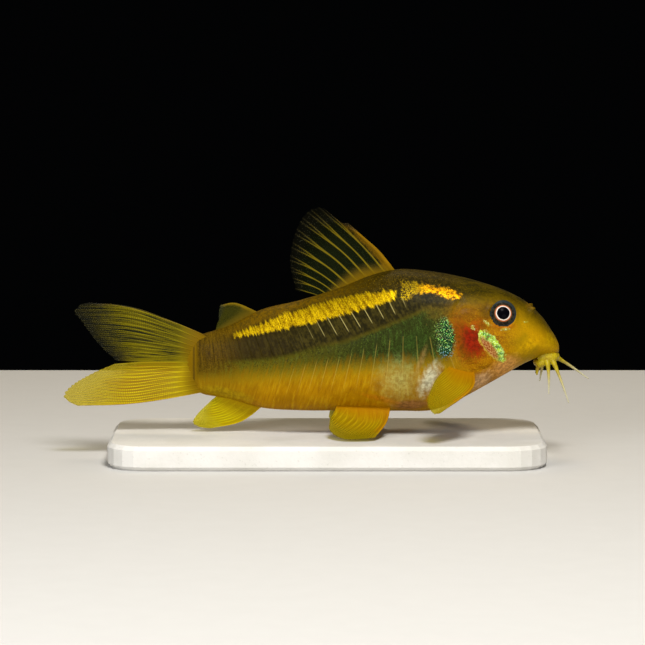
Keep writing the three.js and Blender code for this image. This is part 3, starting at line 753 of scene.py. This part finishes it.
    # Glittering patches
    hue = f.blend(0.5, f.cells(skinLook["glitterCells"], "Color"), ink["sparkGrey"])
    spark = f.soft(f.cells(skinLook["glitterCells"], "Distance"), 0.55, 0.25)
    cool = f.blend(f.soft(height + wobble, 14.2, 12.6), ink["sparkGreen"], ink["sparkBlue"])
    cool = f.blend(f.soft(along + wobble, 14.2, 12.8) * 0.8, cool, ink["sparkYellow"])
    granule = f.soft(fine * 0.6 + grain * 0.4, 0.43, 0.53) * spark
    glitter = f.blend(granule, ink["glitterGap"], f.tinted(hue, cool))
    patch = f.soft(f.mark("patch") + wobble * 0.5, 0.0, 0.3)
    skin = f.blend(patch * f.soft(along + wobble, 12.2, 14.6), skin, glitter)
    cheekIn = f.soft(f.mark("cheek") + wobble * 0.5, 0.0, 0.18)
    arc = cheekIn * f.soft(f.mark("cheekTop") + wobble * 0.6, 0.5, 0.1)
    hem = cheekIn * f.soft(f.mark("cheek") + wobble * 0.2, 0.3, 0.12)
    ember = f.blend(f.soft(fine, 0.45, 0.58), ink["emberDark"], ink["emberLight"])
    skin = f.blend(cheekIn * 0.75, skin, ember)
    skin = f.blend(hem * 0.75, skin, ink["hem"])
    lime = f.blend(f.soft(grain, 0.42, 0.58), ink["limeDark"], ink["limeLight"])
    lime = f.blend(granule, lime, ink["limeSpark"])
    skin = f.blend(arc * f.soft(fine * 0.5 + grain * 0.5, 0.36, 0.44), skin, lime)
    sparkle = f.soft(f.mark("glint") + wobble * 1.3, 0.25, 0.6)
    skin = f.blend(sparkle * 0.75, skin, f.blend(granule, ink["glintDark"], ink["glintLight"]))
    f.feed("Base Color", skin)
    f.feed("Metallic", gold * 0.7 + collar * 0.65 + patch * 0.4 + arc * 0.3)
    f.feed("Roughness", 0.36 + fine * 0.16)
    relief = grain * 0.4 + fine * 0.6 + f.cells(skinLook["poreCells"], "Distance") * 0.3 + comb * 0.5
    f.feed("Normal", f.bump(relief, skinLook["depth"]))
    return f.material


addSkin(skinFinish())
print("skin done")


# Lips under the snout, with the mouth's line between them
def tube(points, radii, sides=18, steps=40):
    line = curveThrough([[i / (len(points) - 1), *p] for i, p in enumerate(points)])
    t = np.linspace(0, 1, steps)
    centres = line(t)
    tangent = np.gradient(centres, axis=0)
    tangent /= np.linalg.norm(tangent, axis=1, keepdims=True)
    side = np.cross(tangent, [0.2, 1, 0.1])
    side /= np.linalg.norm(side, axis=1, keepdims=True)
    other = np.cross(tangent, side)
    turn = np.linspace(0, 2 * math.pi, sides, endpoint=False)
    radius = np.interp(t, np.linspace(0, 1, len(radii)), radii)
    ring = np.cos(turn)[None, :, None] * side[:, None] + np.sin(turn)[None, :, None] * other[:, None]
    grid = centres[:, None] + ring * radius[:, None, None]
    flat = np.concatenate([grid.reshape(-1, 3), [centres[0], centres[-1]]])
    faces = tubeFaces(steps, sides, True)
    marks = {"along": np.concatenate([np.repeat(t, sides), [0, 1]])}
    return flat, faces, marks


def merged(parts):  # several (points, faces, marks) as one
    points, faces, marks = [], [], {}
    start = 0
    for p, f, m in parts:
        points.append(p)
        faces += [[i + start for i in face] for face in f]
        for key, values in m.items():
            marks.setdefault(key, []).append(values)
        start += len(p)
    return np.concatenate(points), faces, {k: np.concatenate(v) for k, v in marks.items()}


lips = {
    "cornerX": 27.5,
    "frontX": 28.5,
    "rearX": 26.4,
    "cornerY": 1.5,
    "upperZ": 12.6,
    "lowerZ": 11.85,
    "bend": 0.3,
    "bendShare": 0.75,
    "radius": 0.6,
    "radiusShares": (0.75, 0.95, 1.0, 0.95, 0.75),
    "fold": (27.5, 1.25, 12.6),
    "foldSize": (1.3, 0.75, 1.0),
    "foldGrid": 28,
    "poleGap": 0.05,
    "mentalBarbel": [[26.6, 0.6, 12.0], [26.4, 0.8, 11.2], [26.2, 0.9, 10.3]],
    "mentalRadii": [0.3, 0.2, 0.08],
    "tones": [(0.4, 0.3, 0.003), (0.3, 0.2, 0.002)],
    "wartTone": (0.56, 0.46, 0.02),
}


def lipPoints(rear):
    middleX = lips["rearX"] if rear else lips["frontX"]
    z = lips["lowerZ"] if rear else lips["upperZ"]
    cornerZ = (lips["lowerZ"] + lips["upperZ"]) / 2
    bend = (lips["cornerX"] + middleX) / 2 + (-lips["bend"] if rear else lips["bend"])
    corner = lips["cornerY"]
    side = corner * lips["bendShare"]
    return [
        [lips["cornerX"], -corner, cornerZ],
        [bend, -side, z],
        [middleX, 0, z],
        [bend, side, z],
        [lips["cornerX"], corner, cornerZ],
    ]


def foldAt(side):  # the fleshy corner of the mouth that carries the barbels
    size = lips["foldGrid"]
    polar = np.linspace(lips["poleGap"], math.pi - lips["poleGap"], size)
    turn = np.linspace(0, 2 * math.pi, size, endpoint=False)
    x, y, z = lips["fold"]
    ball = np.stack(
        [
            np.sin(polar)[:, None] * np.cos(turn) * lips["foldSize"][0] + x,
            np.sin(polar)[:, None] * np.sin(turn) * lips["foldSize"][1] + y * side,
            np.cos(polar)[:, None] + 0 * turn,
        ],
        -1,
    )
    ball[..., 2] = ball[..., 2] * lips["foldSize"][2] + z
    flat = np.concatenate([ball.reshape(-1, 3), [ball[0].mean(0), ball[-1].mean(0)]])
    return flat, tubeFaces(size, size, True), {"along": np.zeros(len(flat))}


def lipFinish():
    f = Finish("lipSkin", {"Coat Weight": 0.05, "Coat Roughness": 0.2, "Specular IOR Level": 0.2})
    warts = f.cells(3.5, "Distance")
    tone = f.blend(f.soft(f.noise(1.5), 0.4, 0.65), *[colour(*v) for v in lips["tones"]])
    f.feed("Base Color", f.blend(f.soft(warts, 0.4, 0.1) * 0.4, tone, colour(*lips["wartTone"])))
    f.feed("Roughness", 0.35 + f.noise(4.0) * 0.2)
    f.feed("Normal", f.bump(1 - warts, 0.06))
    return f.material


lipMaterial = lipFinish()
lipRadii = [lips["radius"] * share for share in lips["radiusShares"]]
lowerParts = [tube(lipPoints(True), lipRadii)]
for side in (1, -1):
    line = [[x, y * side, z] for x, y, z in lips["mentalBarbel"]]
    lowerParts.append(tube(line, lips["mentalRadii"], 14, 20))
addMesh("lowerLip", *merged(lowerParts), lipMaterial, "skin", ["lower_lip"])
upperParts = [tube(lipPoints(False), lipRadii), foldAt(1), foldAt(-1)]
addMesh("upperLip", *merged(upperParts), lipMaterial, "skin", [])


# Barbels, each one thinning to a pale tip
barbels = {
    "barbel_right_upper": [[27.7, -0.9, 12.9], [28.4, -1.9, 11.6], [29.2, -2.4, 9.6], [30.1, -2.6, 7.0]],
    "barbel_right_lower": [[27.2, -1.0, 12.8], [27.5, -2.1, 11.6], [27.6, -2.5, 9.9], [27.6, -2.6, 8.1]],
    "barbel_left_upper": [[28.0, 0.8, 13.0], [29.1, 1.7, 12.1], [30.9, 2.3, 10.9], [32.95, 2.7, 9.4]],
    "barbel_left_lower": [[26.8, 1.0, 12.7], [27.1, 2.1, 11.6], [27.0, 2.5, 10.4], [26.8, 2.6, 9.1]],
}
barbelLook = {
    "radii": [0.5, 0.34, 0.19, 0.13, 0.06],
    "tones": [(0.4, 0.31, 0.004), (0.3, 0.22, 0.003)],
    "tipTone": (0.5, 0.47, 0.3),
}


def barbelFinish():
    f = Finish("barbelSkin", {"Coat Weight": 0.05, "Coat Roughness": 0.25, "Specular IOR Level": 0.2})
    tip = f.soft(f.mark("along"), 0.35, 0.95)
    tone = f.blend(f.soft(f.noise(2.5), 0.4, 0.65), *[colour(*v) for v in barbelLook["tones"]])
    f.feed("Base Color", f.blend(tip, tone, colour(*barbelLook["tipTone"])))
    f.feed("Roughness", 0.35 + f.noise(5.0) * 0.2)
    f.feed("Normal", f.bump(f.noise(5.0), 0.03))
    return f.material


barbelMaterial = barbelFinish()
for node, points in barbels.items():
    addMesh(joined(node), *tube(points, barbelLook["radii"], 16, 48), barbelMaterial, "barbel", [node])
print("lips and barbels done")


# Eyes: a dark iris, a thin red and a pale ring round the pupil, and a wet front
eyeSurface = {"Coat Weight": 0.05, "Coat Roughness": 0.02, "Coat IOR": 1.33, "Specular IOR Level": 0.01}


def eyeFinish():
    f = Finish("wetEye", eyeSurface)
    away = f.mark("away") + (f.noise(3.0) - 0.5) * 0.08
    rays = f.noise(3.0, 3, 0.6)
    iris = f.blend(f.soft(rays, 0.4, 0.62), *[colour(*v) for v in eye["irisTones"]])
    iris = f.blend(f.soft(away, *eye["rim"]), iris, colour(*eye["rimTone"]))
    tone = f.blend(f.soft(away, *eye["redRing"]), colour(*eye["redTone"]), iris)
    tone = f.blend(f.soft(away, *eye["paleRing"]), colour(*eye["paleTone"]), tone)
    tone = f.blend(f.soft(away, *eye["pupil"]), colour(*eye["pupilTone"]), tone)
    f.feed("Base Color", tone)
    f.feed("Roughness", 0.4 + rays * 0.1)
    return f.material


def addEye(name, node, side, material):
    rows, columns = eye["rows"], eye["columns"]
    polar = np.linspace(eye["poleGap"], math.pi - eye["poleGap"], rows)
    turn = np.linspace(0, 2 * math.pi, columns, endpoint=False)
    first = np.cross(eyeOut, [0, 0, 1])
    first /= np.linalg.norm(first)
    second = np.cross(eyeOut, first)
    around = np.cos(turn)[:, None] * first + np.sin(turn)[:, None] * second
    radius = eye["radius"]
    # The front of the ball bulges a little past a sphere, as a cornea does
    swell = 1 + eye["swell"] * np.exp(-((polar / eye["swellReach"]) ** 2))
    ball = np.cos(polar)[:, None, None] * eyeOut + np.sin(polar)[:, None, None] * around
    grid = eyeMiddle + ball * (radius * swell)[:, None, None]
    away = np.repeat((radius * np.sin(np.minimum(polar, math.pi / 2)))[:, None], columns, 1)
    ends = [eyeMiddle + eyeOut * radius * (1 + eye["swell"]), eyeMiddle - eyeOut * radius]
    flat = np.concatenate([grid.reshape(-1, 3), ends])
    faces = tubeFaces(rows, columns)
    if side > 0:
        flat = flat * flip
        faces = [face[::-1] for face in faces]
    marks = {"away": np.concatenate([away.ravel(), [0, radius]])}
    addMesh(name, flat, faces, marks, material, "eye", [node])


eyeMaterial = eyeFinish()
addEye("eyeRight", "eye_right", -1, eyeMaterial)
addEye("eyeLeft", "eye_left", 1, eyeMaterial)
print("eyes done")


# Fins: contours run across the rays, from the sunk root to the tips, as [ray, x, z] or [ray, x, y, z]
fins = {
    "dorsal_fin": {
        "rays": 10,
        "spine": 1.7,
        "contours": [
            [[0, 9.2, 22.4], [3, 5.4, 21.9], [6, 2.3, 20.5], [9, 0.1, 19.4]],
            [[0, 6.7, 25.6], [3, 2.5, 25.1], [6, -0.2, 22.5], [9, -1.2, 20.2]],
            [[0, 4.45, 27.65], [1, 2.5, 28.3], [3, -0.4, 27.5], [6, -2.5, 23.9], [9, -2.6, 20.6]],
            [
                [0, 2.6, 29.3],
                [0.3, 1.75, 29.35],
                [1, -0.7, 31.2],
                [3, -3.2, 29.7],
                [6, -4.6, 24.9],
                [9, -3.9, 20.8],
            ],
        ],
        "finish": "sail",
    },
    "adipose_fin": {
        "rays": 4,
        "spine": 1.2,
        "bare": True,
        "contours": [
            [[0, -7.6, 17.6], [3, -14.2, 14.4]],
            [[0, -11.2, 19.2], [3, -13.7, 16.7]],
            [[0, -13.3, 19.0], [1, -13.5, 18.2], [3, -13.5, 16.5]],
        ],
        "finish": "small",
    },
    "tail_fin_upper": {
        "rays": 8,
        "spine": 1.0,
        "twice": True,
        "fleshy": 1.3,
        "contours": [
            [[0, -15.9, 11.85], [4, -15.9, 13.6], [7, -14.6, 14.9]],
            [[0, -19.2, 11.85], [4, -19.5, 14.7], [7, -19.3, 16.95]],
            [[0, -23.0, 11.85], [4, -24.6, 15.8], [7, -24.6, 18.8]],
            [
                [0, -26.4, 12.0],
                [2, -28.6, 14.1],
                [5, -30.9, 17.2],
                [6.2, -31.6, 18.2],
                [6.7, -30.9, 19.0],
                [7, -29.9, 19.3],
            ],
        ],
        "finish": "upperTail",
    },
    "tail_fin_lower": {
        "rays": 8,
        "spine": 1.0,
        "twice": True,
        "fleshy": 1.3,
        "contours": [
            [[0, -15.9, 11.85], [4, -15.9, 9.6], [7, -14.6, 8.3]],
            [[0, -19.2, 11.85], [4, -19.9, 9.2], [7, -19.9, 7.2]],
            [[0, -23.0, 11.85], [4, -25.4, 8.5], [7, -25.2, 6.5]],
            [[0, -26.6, 11.6], [2, -29.4, 10.4], [5, -32.2, 8.7], [6.4, -32.95, 7.3], [7, -31.4, 6.3]],
        ],
        "finish": "lowerTail",
    },
    "anal_fin": {
        "rays": 7,
        "spine": 1.2,
        "contours": [
            [[0, -7.0, 7.2], [6, -12.8, 8.4]],
            [[0, -10.6, 4.4], [3, -13.2, 5.6], [6, -14.0, 7.4]],
            [[0, -14.6, 3.45], [0.6, -15.9, 3.6], [1.5, -16.8, 4.15], [3, -16.3, 5.2], [6, -14.6, 6.9]],
        ],
        "relief": 0.14,
        "twice": True,
        "finish": "rear",
    },
    "pelvic_fin_right": {
        "rays": 7,
        "spine": 1.3,
        "leftSpread": 0.62,
        "contours": [
            [[0, 8.0, -2.7, 7.1], [6, 1.4, -2.3, 7.0]],
            [[0, 7.4, -5.3, 5.0], [3, 4.6, -5.7, 4.9], [6, 0.9, -4.0, 6.1]],
            [
                [0, 5.9, -8.3, 3.45],
                [1, 4.5, -9.0, 3.4],
                [3, 1.9, -8.8, 3.4],
                [5, 0.3, -6.7, 4.2],
                [6, 0.4, -4.9, 5.4],
            ],
        ],
        "relief": 0.14,
        "twice": True,
        "finish": "low",
    },
    "pectoral_fin_right": {
        "rays": 9,
        "spine": 2.2,
        "contours": [
            [[0, 18.1, -4.4, 11.3], [8, 15.7, -4.9, 12.2]],
            [[0, 17.8, -8.4, 9.5], [4, 15.4, -8.3, 9.9], [8, 14.2, -7.0, 11.4]],
            [[0, 13.7, -12.9, 7.1], [1, 12.9, -12.7, 7.0], [4, 12.2, -11.1, 8.3], [8, 13.2, -8.5, 10.5]],
        ],
        "relief": 0.14,
        "twice": True,
        "finish": "low",
    },
}
finGrid = {
    "perRay": 32,
    "rows": 90,
    "dense": 300,
    "membrane": 0.13,
    "ray": 0.23,
    "notch": 0.012,
    "rayWidth": 0.11,
    "narrowing": 0.06,  # how much of its width a ray loses towards the tip
    "twiceWidth": 0.65,
    "spineWidth": 0.2,
    "thinning": 0.4,
    "fleshy": 0.3,
    "branch": (0.17, 0.4, 1.0),  # how far branches part, in rays, and between which shares of the length
    "firstBranch": (0.25, 0.1, 0.6),
    "secondBranch": (0.125, 0.4, 0.9),
}


def parting(along, spread, start, end):
    return spread * smooth(along, start, end)


def branches(along, twice):  # how far each branch of a ray stands from its middle line, in rays
    if not twice:
        first = parting(along, *finGrid["branch"])
        return [first, -first]
    first = parting(along, *finGrid["firstBranch"])
    second = parting(along, *finGrid["secondBranch"])
    return [first + second, first - second, -first + second, -first - second]


def sheetFaces(height, width):  # the two sides of a sheet and the rim between them
    shift = height * width
    faces = []
    for r in range(height - 1):
        for c in range(width - 1):
            a = r * width + c
            faces.append([a, a + 1, a + width + 1, a + width])
            faces.append([a + shift, a + width + shift, a + width + 1 + shift, a + 1 + shift])
    rim = list(range(width))
    rim += [r * width + width - 1 for r in range(1, height)]
    rim += [(height - 1) * width + c for c in range(width - 2, -1, -1)]
    rim += [r * width for r in range(height - 2, 0, -1)]
    for i, a in enumerate(rim):
        b = rim[(i + 1) % len(rim)]
        faces.append([a, a + shift, b + shift, b])
    return faces


def finGeometry(fin, side):
    spread = fin.get("leftSpread", 1) if side > 0 else 1
    contours = [curveThrough([[ray, x, sum(y) * spread, z] for ray, x, *y, z in c]) for c in fin["contours"]]
    count = len(contours)
    columns = np.linspace(0, fin["rays"] - 1, (fin["rays"] - 1) * finGrid["perRay"] + 1)
    dense = finGrid["dense"]
    stack = np.stack([c(columns) for c in contours]).reshape(count, -1)
    lengthwise = curveThrough(np.concatenate([np.linspace(0, 1, count)[:, None], stack], 1))
    sheet = lengthwise(np.linspace(0, 1, dense + 1)).reshape(dense + 1, len(columns), 3)
    rows = np.linspace(0, 1, finGrid["rows"])
    along = np.repeat(rows[:, None], len(columns), 1)
    off = np.repeat((columns - np.round(columns))[None], len(rows), 0)
    width = finGrid["rayWidth"] - finGrid["narrowing"] * along
    if fin.get("twice"):
        width = width * finGrid["twiceWidth"]
    ray = np.zeros_like(along)
    if not fin.get("bare"):
        for branch in branches(along, fin.get("twice")):
            ray = np.maximum(ray, np.exp(-(((off - branch) / width) ** 2)))
    first = columns < 0.5
    ray[:, first] = np.exp(-((off[:, first] / (finGrid["spineWidth"] * fin["spine"])) ** 2))
    tipRay = np.exp(-((np.abs(np.abs(off) - 0.25) / 0.2) ** 2))
    reach = along * (1 - finGrid["notch"] * along * (1 - tipRay))
    spot = reach * dense
    low = np.clip(spot.astype(int), 0, dense - 1)
    part = (spot - low)[..., None]
    cross = np.arange(len(columns))[None]
    middle = sheet[low, cross] * (1 - part) + sheet[low + 1, cross] * part
    normals = gridNormals(middle)
    thinner = 1 - finGrid["thinning"] * along
    full = fin.get("relief", finGrid["ray"]) * thinner
    full = full * np.where(columns < 0.5, fin["spine"], 1.0)[None]
    thick = finGrid["membrane"] * thinner + (full - finGrid["membrane"]) * ray * (1 - 0.3 * along)
    thick = thick + fin.get("fleshy", finGrid["fleshy"]) * (1 - smooth(along, 0.0, 0.3))
    front = middle + normals * thick[..., None] / 2
    back = middle - normals * thick[..., None] / 2
    height, width = along.shape
    points = np.concatenate([front.reshape(-1, 3), back.reshape(-1, 3)])
    faces = sheetFaces(height, width)
    if side > 0:
        points = points * flip
        faces = [face[::-1] for face in faces]
    across = np.repeat(columns[None], height, 0)
    single = {"ray": ray, "along": along, "across": across}
    marks = {k: np.concatenate([v.ravel(), v.ravel()]) for k, v in single.items()}
    return points, faces, marks


# Across counts a fin's rays from its front edge, or the tail's from its middle.
# Along goes from 0 at the root to 1 at the tips.
plainFin = {
    "leadAcross": (1.2, 0.3),
    "meet": (0.1, 0.09, 0.02),
    "meetAcross": (-1.0, -2.0),
    "clear": (0.9, 0.85, 0.35),
    "cover": 0.85,
    "rayCover": 0.15,
    "fade": (0.6, 1.0, 0.6),
    "streakAlong": (0.15, 0.5),
    "rootEnd": 0.6,
}
finLooks = {
    "sail": {
        **plainFin,
        "ray": (0.15, 0.11, 0.004),
        "web": (0.013, 0.018, 0.005),
        "shade": (0.008, 0.01, 0.003),
        "tip": (0.06, 0.056, 0.035),
        "root": (0.15, 0.085, 0.001),
        "lead": (0.14, 0.072, 0.001),
        "leadAcross": (1.05, 0.55),
        "clear": (0.45, 0.45, 0.3),
        "cover": 0.4,
        "rayCover": 0.6,
        "fade": (0.45, 1.0, 0.9),
        "joints": 0.35,
        "streaks": 0.3,
        "rootEnd": 0.24,
    },
    "small": {
        **plainFin,
        "ray": (0.1, 0.08, 0.004),
        "web": (0.04, 0.038, 0.003),
        "shade": (0.015, 0.015, 0.003),
        "tip": (0.04, 0.045, 0.02),
        "root": (0.13, 0.075, 0.002),
        "lead": (0.1, 0.065, 0.002),
        "leadAcross": (0.5, 0.1),
        "clear": (0.45, 0.45, 0.3),
        "cover": 0.75,
        "rayCover": 0.25,
        "fade": (0.7, 1.0, 0.4),
        "joints": 0.0,
        "streaks": 0.3,
        "rootEnd": 0.4,
    },
    "upperTail": {
        **plainFin,
        "ray": (0.2, 0.165, 0.004),
        "web": (0.115, 0.092, 0.003),
        "shade": (0.01, 0.012, 0.006),
        "tip": (0.022, 0.025, 0.026),
        "root": (0.16, 0.088, 0.001),
        "lead": (0.13, 0.09, 0.008),
        "leadAcross": (6.75, 7.0),
        "meet": (0.2, 0.155, 0.002),
        "meetAcross": (2.4, -0.4),
        "clear": (0.5, 0.5, 0.38),
        "cover": 0.82,
        "rayCover": 0.18,
        "fade": (0.55, 1.0, 0.75),
        "joints": 0.35,
        "streaks": 0.95,
        "streakAlong": (0.12, 0.4),
        "rootEnd": 0.3,
    },
    "lowerTail": {
        **plainFin,
        "ray": (0.56, 0.44, 0.006),
        "web": (0.36, 0.26, 0.004),
        "shade": (0.24, 0.095, 0.006),
        "tip": (0.5, 0.4, 0.03),
        "root": (0.16, 0.088, 0.001),
        "lead": (0.34, 0.24, 0.003),
        "leadAcross": (6.4, 7.0),
        "meet": (0.2, 0.155, 0.002),
        "meetAcross": (2.2, -0.4),
        "clear": (0.85, 0.8, 0.45),
        "cover": 0.7,
        "rayCover": 0.3,
        "joints": 0.55,
        "streaks": 0.55,
        "rootEnd": 0.3,
    },
    "low": {
        **plainFin,
        "ray": (0.34, 0.23, 0.002),
        "web": (0.28, 0.18, 0.001),
        "shade": (0.2, 0.075, 0.001),
        "tip": (0.3, 0.24, 0.004),
        "root": (0.32, 0.13, 0.0005),
        "lead": (0.22, 0.105, 0.001),
        "fade": (0.55, 1.0, 0.6),
        "joints": 0.15,
        "streaks": 0.6,
        "streakAlong": (0.85, 0.25),
    },
    "rear": {
        **plainFin,
        "ray": (0.48, 0.4, 0.003),
        "web": (0.36, 0.29, 0.002),
        "shade": (0.26, 0.16, 0.001),
        "tip": (0.5, 0.44, 0.02),
        "root": (0.3, 0.17, 0.001),
        "lead": (0.3, 0.22, 0.001),
        "joints": 0.2,
        "streaks": 0.4,
    },
}


def finFinish(name, look):
    f = Finish(name + "Membrane", {"Coat Weight": 0.01, "Coat Roughness": 0.2, "Specular IOR Level": 0.02})
    ray = f.mark("ray")
    along = f.mark("along")
    across = f.mark("across")
    mottle = f.noise(0.9, 3, 0.6)
    streak = f.grainAlong(across * 2.0, along * 1.4, 1.6)
    joints = f.node("ShaderNodeMath", {"operation": "SINE"}, {0: along * 420.0 + mottle * 7.0})
    shade = colour(*look["shade"])
    lead = f.soft(across + (mottle - 0.5), *look["leadAcross"])
    web = f.blend(lead * 0.9, colour(*look["web"]), colour(*look["lead"]))
    bone = f.blend(lead, colour(*look["ray"]), colour(*[v * 1.7 for v in look["lead"]]))
    tone = f.blend(f.soft(ray, 0.15, 0.8), web, bone)
    tone = f.blend(f.soft(across, *look["meetAcross"]) * 0.85, tone, colour(*look["meet"]))
    jointed = f.soft(joints, 0.0, 0.9) * look["joints"] * f.soft(along, 0.15, 0.4) * f.soft(along, 0.9, 0.6)
    tone = f.blend(jointed, tone, shade)
    between = 1 - f.soft(ray, 0.3, 0.85) * 0.75
    streaked = f.soft(streak, 0.48, 0.6) * between * look["streaks"] * f.soft(along, *look["streakAlong"])
    tone = f.blend(streaked, tone, shade)
    tone = f.blend(f.soft(along + (mottle - 0.5) * 0.3, 0.68, 1.05) * 0.85, tone, colour(*look["tip"]))
    rooted = f.soft(along, look["rootEnd"], 0.04)
    tone = f.blend(rooted, tone, colour(*look["root"]))
    f.feed("Base Color", tone)
    f.feed("Roughness", 0.4 + mottle * 0.2)
    f.feed("Normal", f.bump(f.noise(6.0) + joints * 0.2, 0.01))
    clear = f.node("ShaderNodeBsdfTransparent", {}, {"Color": colour(*look["clear"])})
    start, end, much = look["fade"]
    solid = look["cover"] + f.soft(ray, 0.1, 0.7) * look["rayCover"] + lead * 0.4
    solid = solid * (1 - f.soft(along, start, end) * much)
    capped = f.node("ShaderNodeMath", {"operation": "MINIMUM"}, {0: solid + rooted, 1: 1.0})
    opaque = Wire(f, f.shader.outputs[0])
    mixed = f.node("ShaderNodeMixShader", {}, {0: capped, 1: clear, 2: opaque})
    f.tree.links.new(mixed.socket, f.tree.nodes["Material Output"].inputs["Surface"])
    return f.material


finMaterials = {name: finFinish(name, look) for name, look in finLooks.items()}
for node, fin in fins.items():
    pair = [(node, -1)]
    if node.endswith("right"):
        pair.append((node.replace("right", "left"), 1))
    for name, side in pair:
        addMesh(joined(name), *finGeometry(fin, side), finMaterials[fin["finish"]], "fin", [name])
print("fins done")


# The display base keeps its solid
baseTones = {"pale": (0.72, 0.7, 0.66), "cloud": (0.64, 0.62, 0.57), "speck": (0.4, 0.38, 0.33)}


def baseFinish():
    f = Finish("paleResin", {"Specular IOR Level": 0.3})
    cloud = f.noise(0.12, 4, 0.6)
    tone = f.blend(f.soft(cloud, 0.35, 0.65), colour(*baseTones["pale"]), colour(*baseTones["cloud"]))
    speck = f.soft(f.noise(3.0), 0.62, 0.72) * 0.3
    f.feed("Base Color", f.blend(speck, tone, colour(*baseTones["speck"])))
    f.feed("Roughness", 0.5 + cloud * 0.2)
    f.feed("Normal", f.bump(f.noise(2.5), 0.02))
    return f.material


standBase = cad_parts["stand_base"]
standBase.data.materials.clear()
standBase.data.materials.append(baseFinish())


# Studio: a pale floor that ends behind the fish, soft lights and the photograph's view
studio = {
    "floorX": (-170, 170),
    "floorY": (-150, 90),
    "target": (-0.56, 0.0, 16.8),
    "distance": 410.0,
    "viewWidth": 80.6,
    "sensor": 36,
    "floorTones": [(0.6, 0.59, 0.57), (0.57, 0.56, 0.54)],
    "lightsMeet": (0, 0, 12),
    "lights": {  # place, power, size and tint
        "key": ((40, -170, 260), 0.9, 100, (1.0, 0.98, 0.94)),
        "fill": ((-150, -230, 90), 0.36, 140, (0.95, 0.97, 1.0)),
        "low": ((110, -250, 22), 0.22, 160, (1.0, 0.98, 0.95)),
        "back": ((0, 130, 260), 0.22, 140, (1.0, 0.82, 0.52)),
    },
    "airTone": (1.0, 0.96, 0.9),
    "airPower": 0.07,
    "seenTone": (0.0008, 0.0009, 0.001),  # what the camera sees behind the fish
}


def addFloor():
    f = Finish("studioFloor", {"Roughness": 0.8})
    f.feed("Base Color", f.blend(f.noise(0.3), *[colour(*v) for v in studio["floorTones"]]))
    xs, ys = studio["floorX"], studio["floorY"]
    corners = [(xs[0], ys[0]), (xs[1], ys[0]), (xs[1], ys[1]), (xs[0], ys[1])]
    mesh = bpy.data.meshes.new("floor")
    mesh.from_pydata([(x * mm, y * mm, 0) for x, y in corners], [], [[0, 1, 2, 3]])
    mesh.materials.append(f.material)
    floor = bpy.data.objects.new("floor", mesh)
    bpy.context.scene.collection.objects.link(floor)


def aim(thing, place, target):
    direction = np.array(target) - np.array(place)
    flatLength = math.hypot(direction[0], direction[1])
    thing.location = [v * mm for v in place]
    thing.rotation_euler = (math.atan2(flatLength, -direction[2]), 0, math.atan2(-direction[0], direction[1]))


def addLight(name, place, power, size, tint):
    data = bpy.data.lights.new(name, "AREA")
    data.energy = power
    data.shape = "DISK"
    data.size = size * mm
    data.color = tint
    lamp = bpy.data.objects.new(name, data)
    bpy.context.scene.collection.objects.link(lamp)
    aim(lamp, place, studio["lightsMeet"])


def addWorld():
    world = bpy.data.worlds.new("studioAir")
    bpy.context.scene.world = world
    world.use_nodes = True
    tree = world.node_tree
    soft = tree.nodes["Background"]
    soft.inputs[0].default_value = colour(*studio["airTone"])
    soft.inputs[1].default_value = studio["airPower"]
    dark = tree.nodes.new("ShaderNodeBackground")
    dark.inputs[0].default_value = colour(*studio["seenTone"])
    rays = tree.nodes.new("ShaderNodeLightPath")
    mix = tree.nodes.new("ShaderNodeMixShader")
    tree.links.new(rays.outputs["Is Camera Ray"], mix.inputs[0])
    tree.links.new(soft.outputs[0], mix.inputs[1])
    tree.links.new(dark.outputs[0], mix.inputs[2])
    tree.links.new(mix.outputs[0], tree.nodes["World Output"].inputs[0])


def addCamera():
    data = bpy.data.cameras.new("view")
    data.sensor_width = studio["sensor"]
    data.lens = studio["sensor"] * studio["distance"] / studio["viewWidth"]
    data.clip_start = 0.01
    data.clip_end = 5
    camera = bpy.data.objects.new("view", data)
    bpy.context.scene.collection.objects.link(camera)
    x, y, z = studio["target"]
    reach = studio["distance"]
    aim(camera, (x, y - reach * math.cos(viewTilt), z + reach * math.sin(viewTilt)), studio["target"])
    bpy.context.scene.camera = camera


addFloor()
for name, light in studio["lights"].items():
    addLight(name, *light)
addWorld()
addCamera()
bpy.context.scene.view_settings.view_transform = "Standard"
print("studio done")
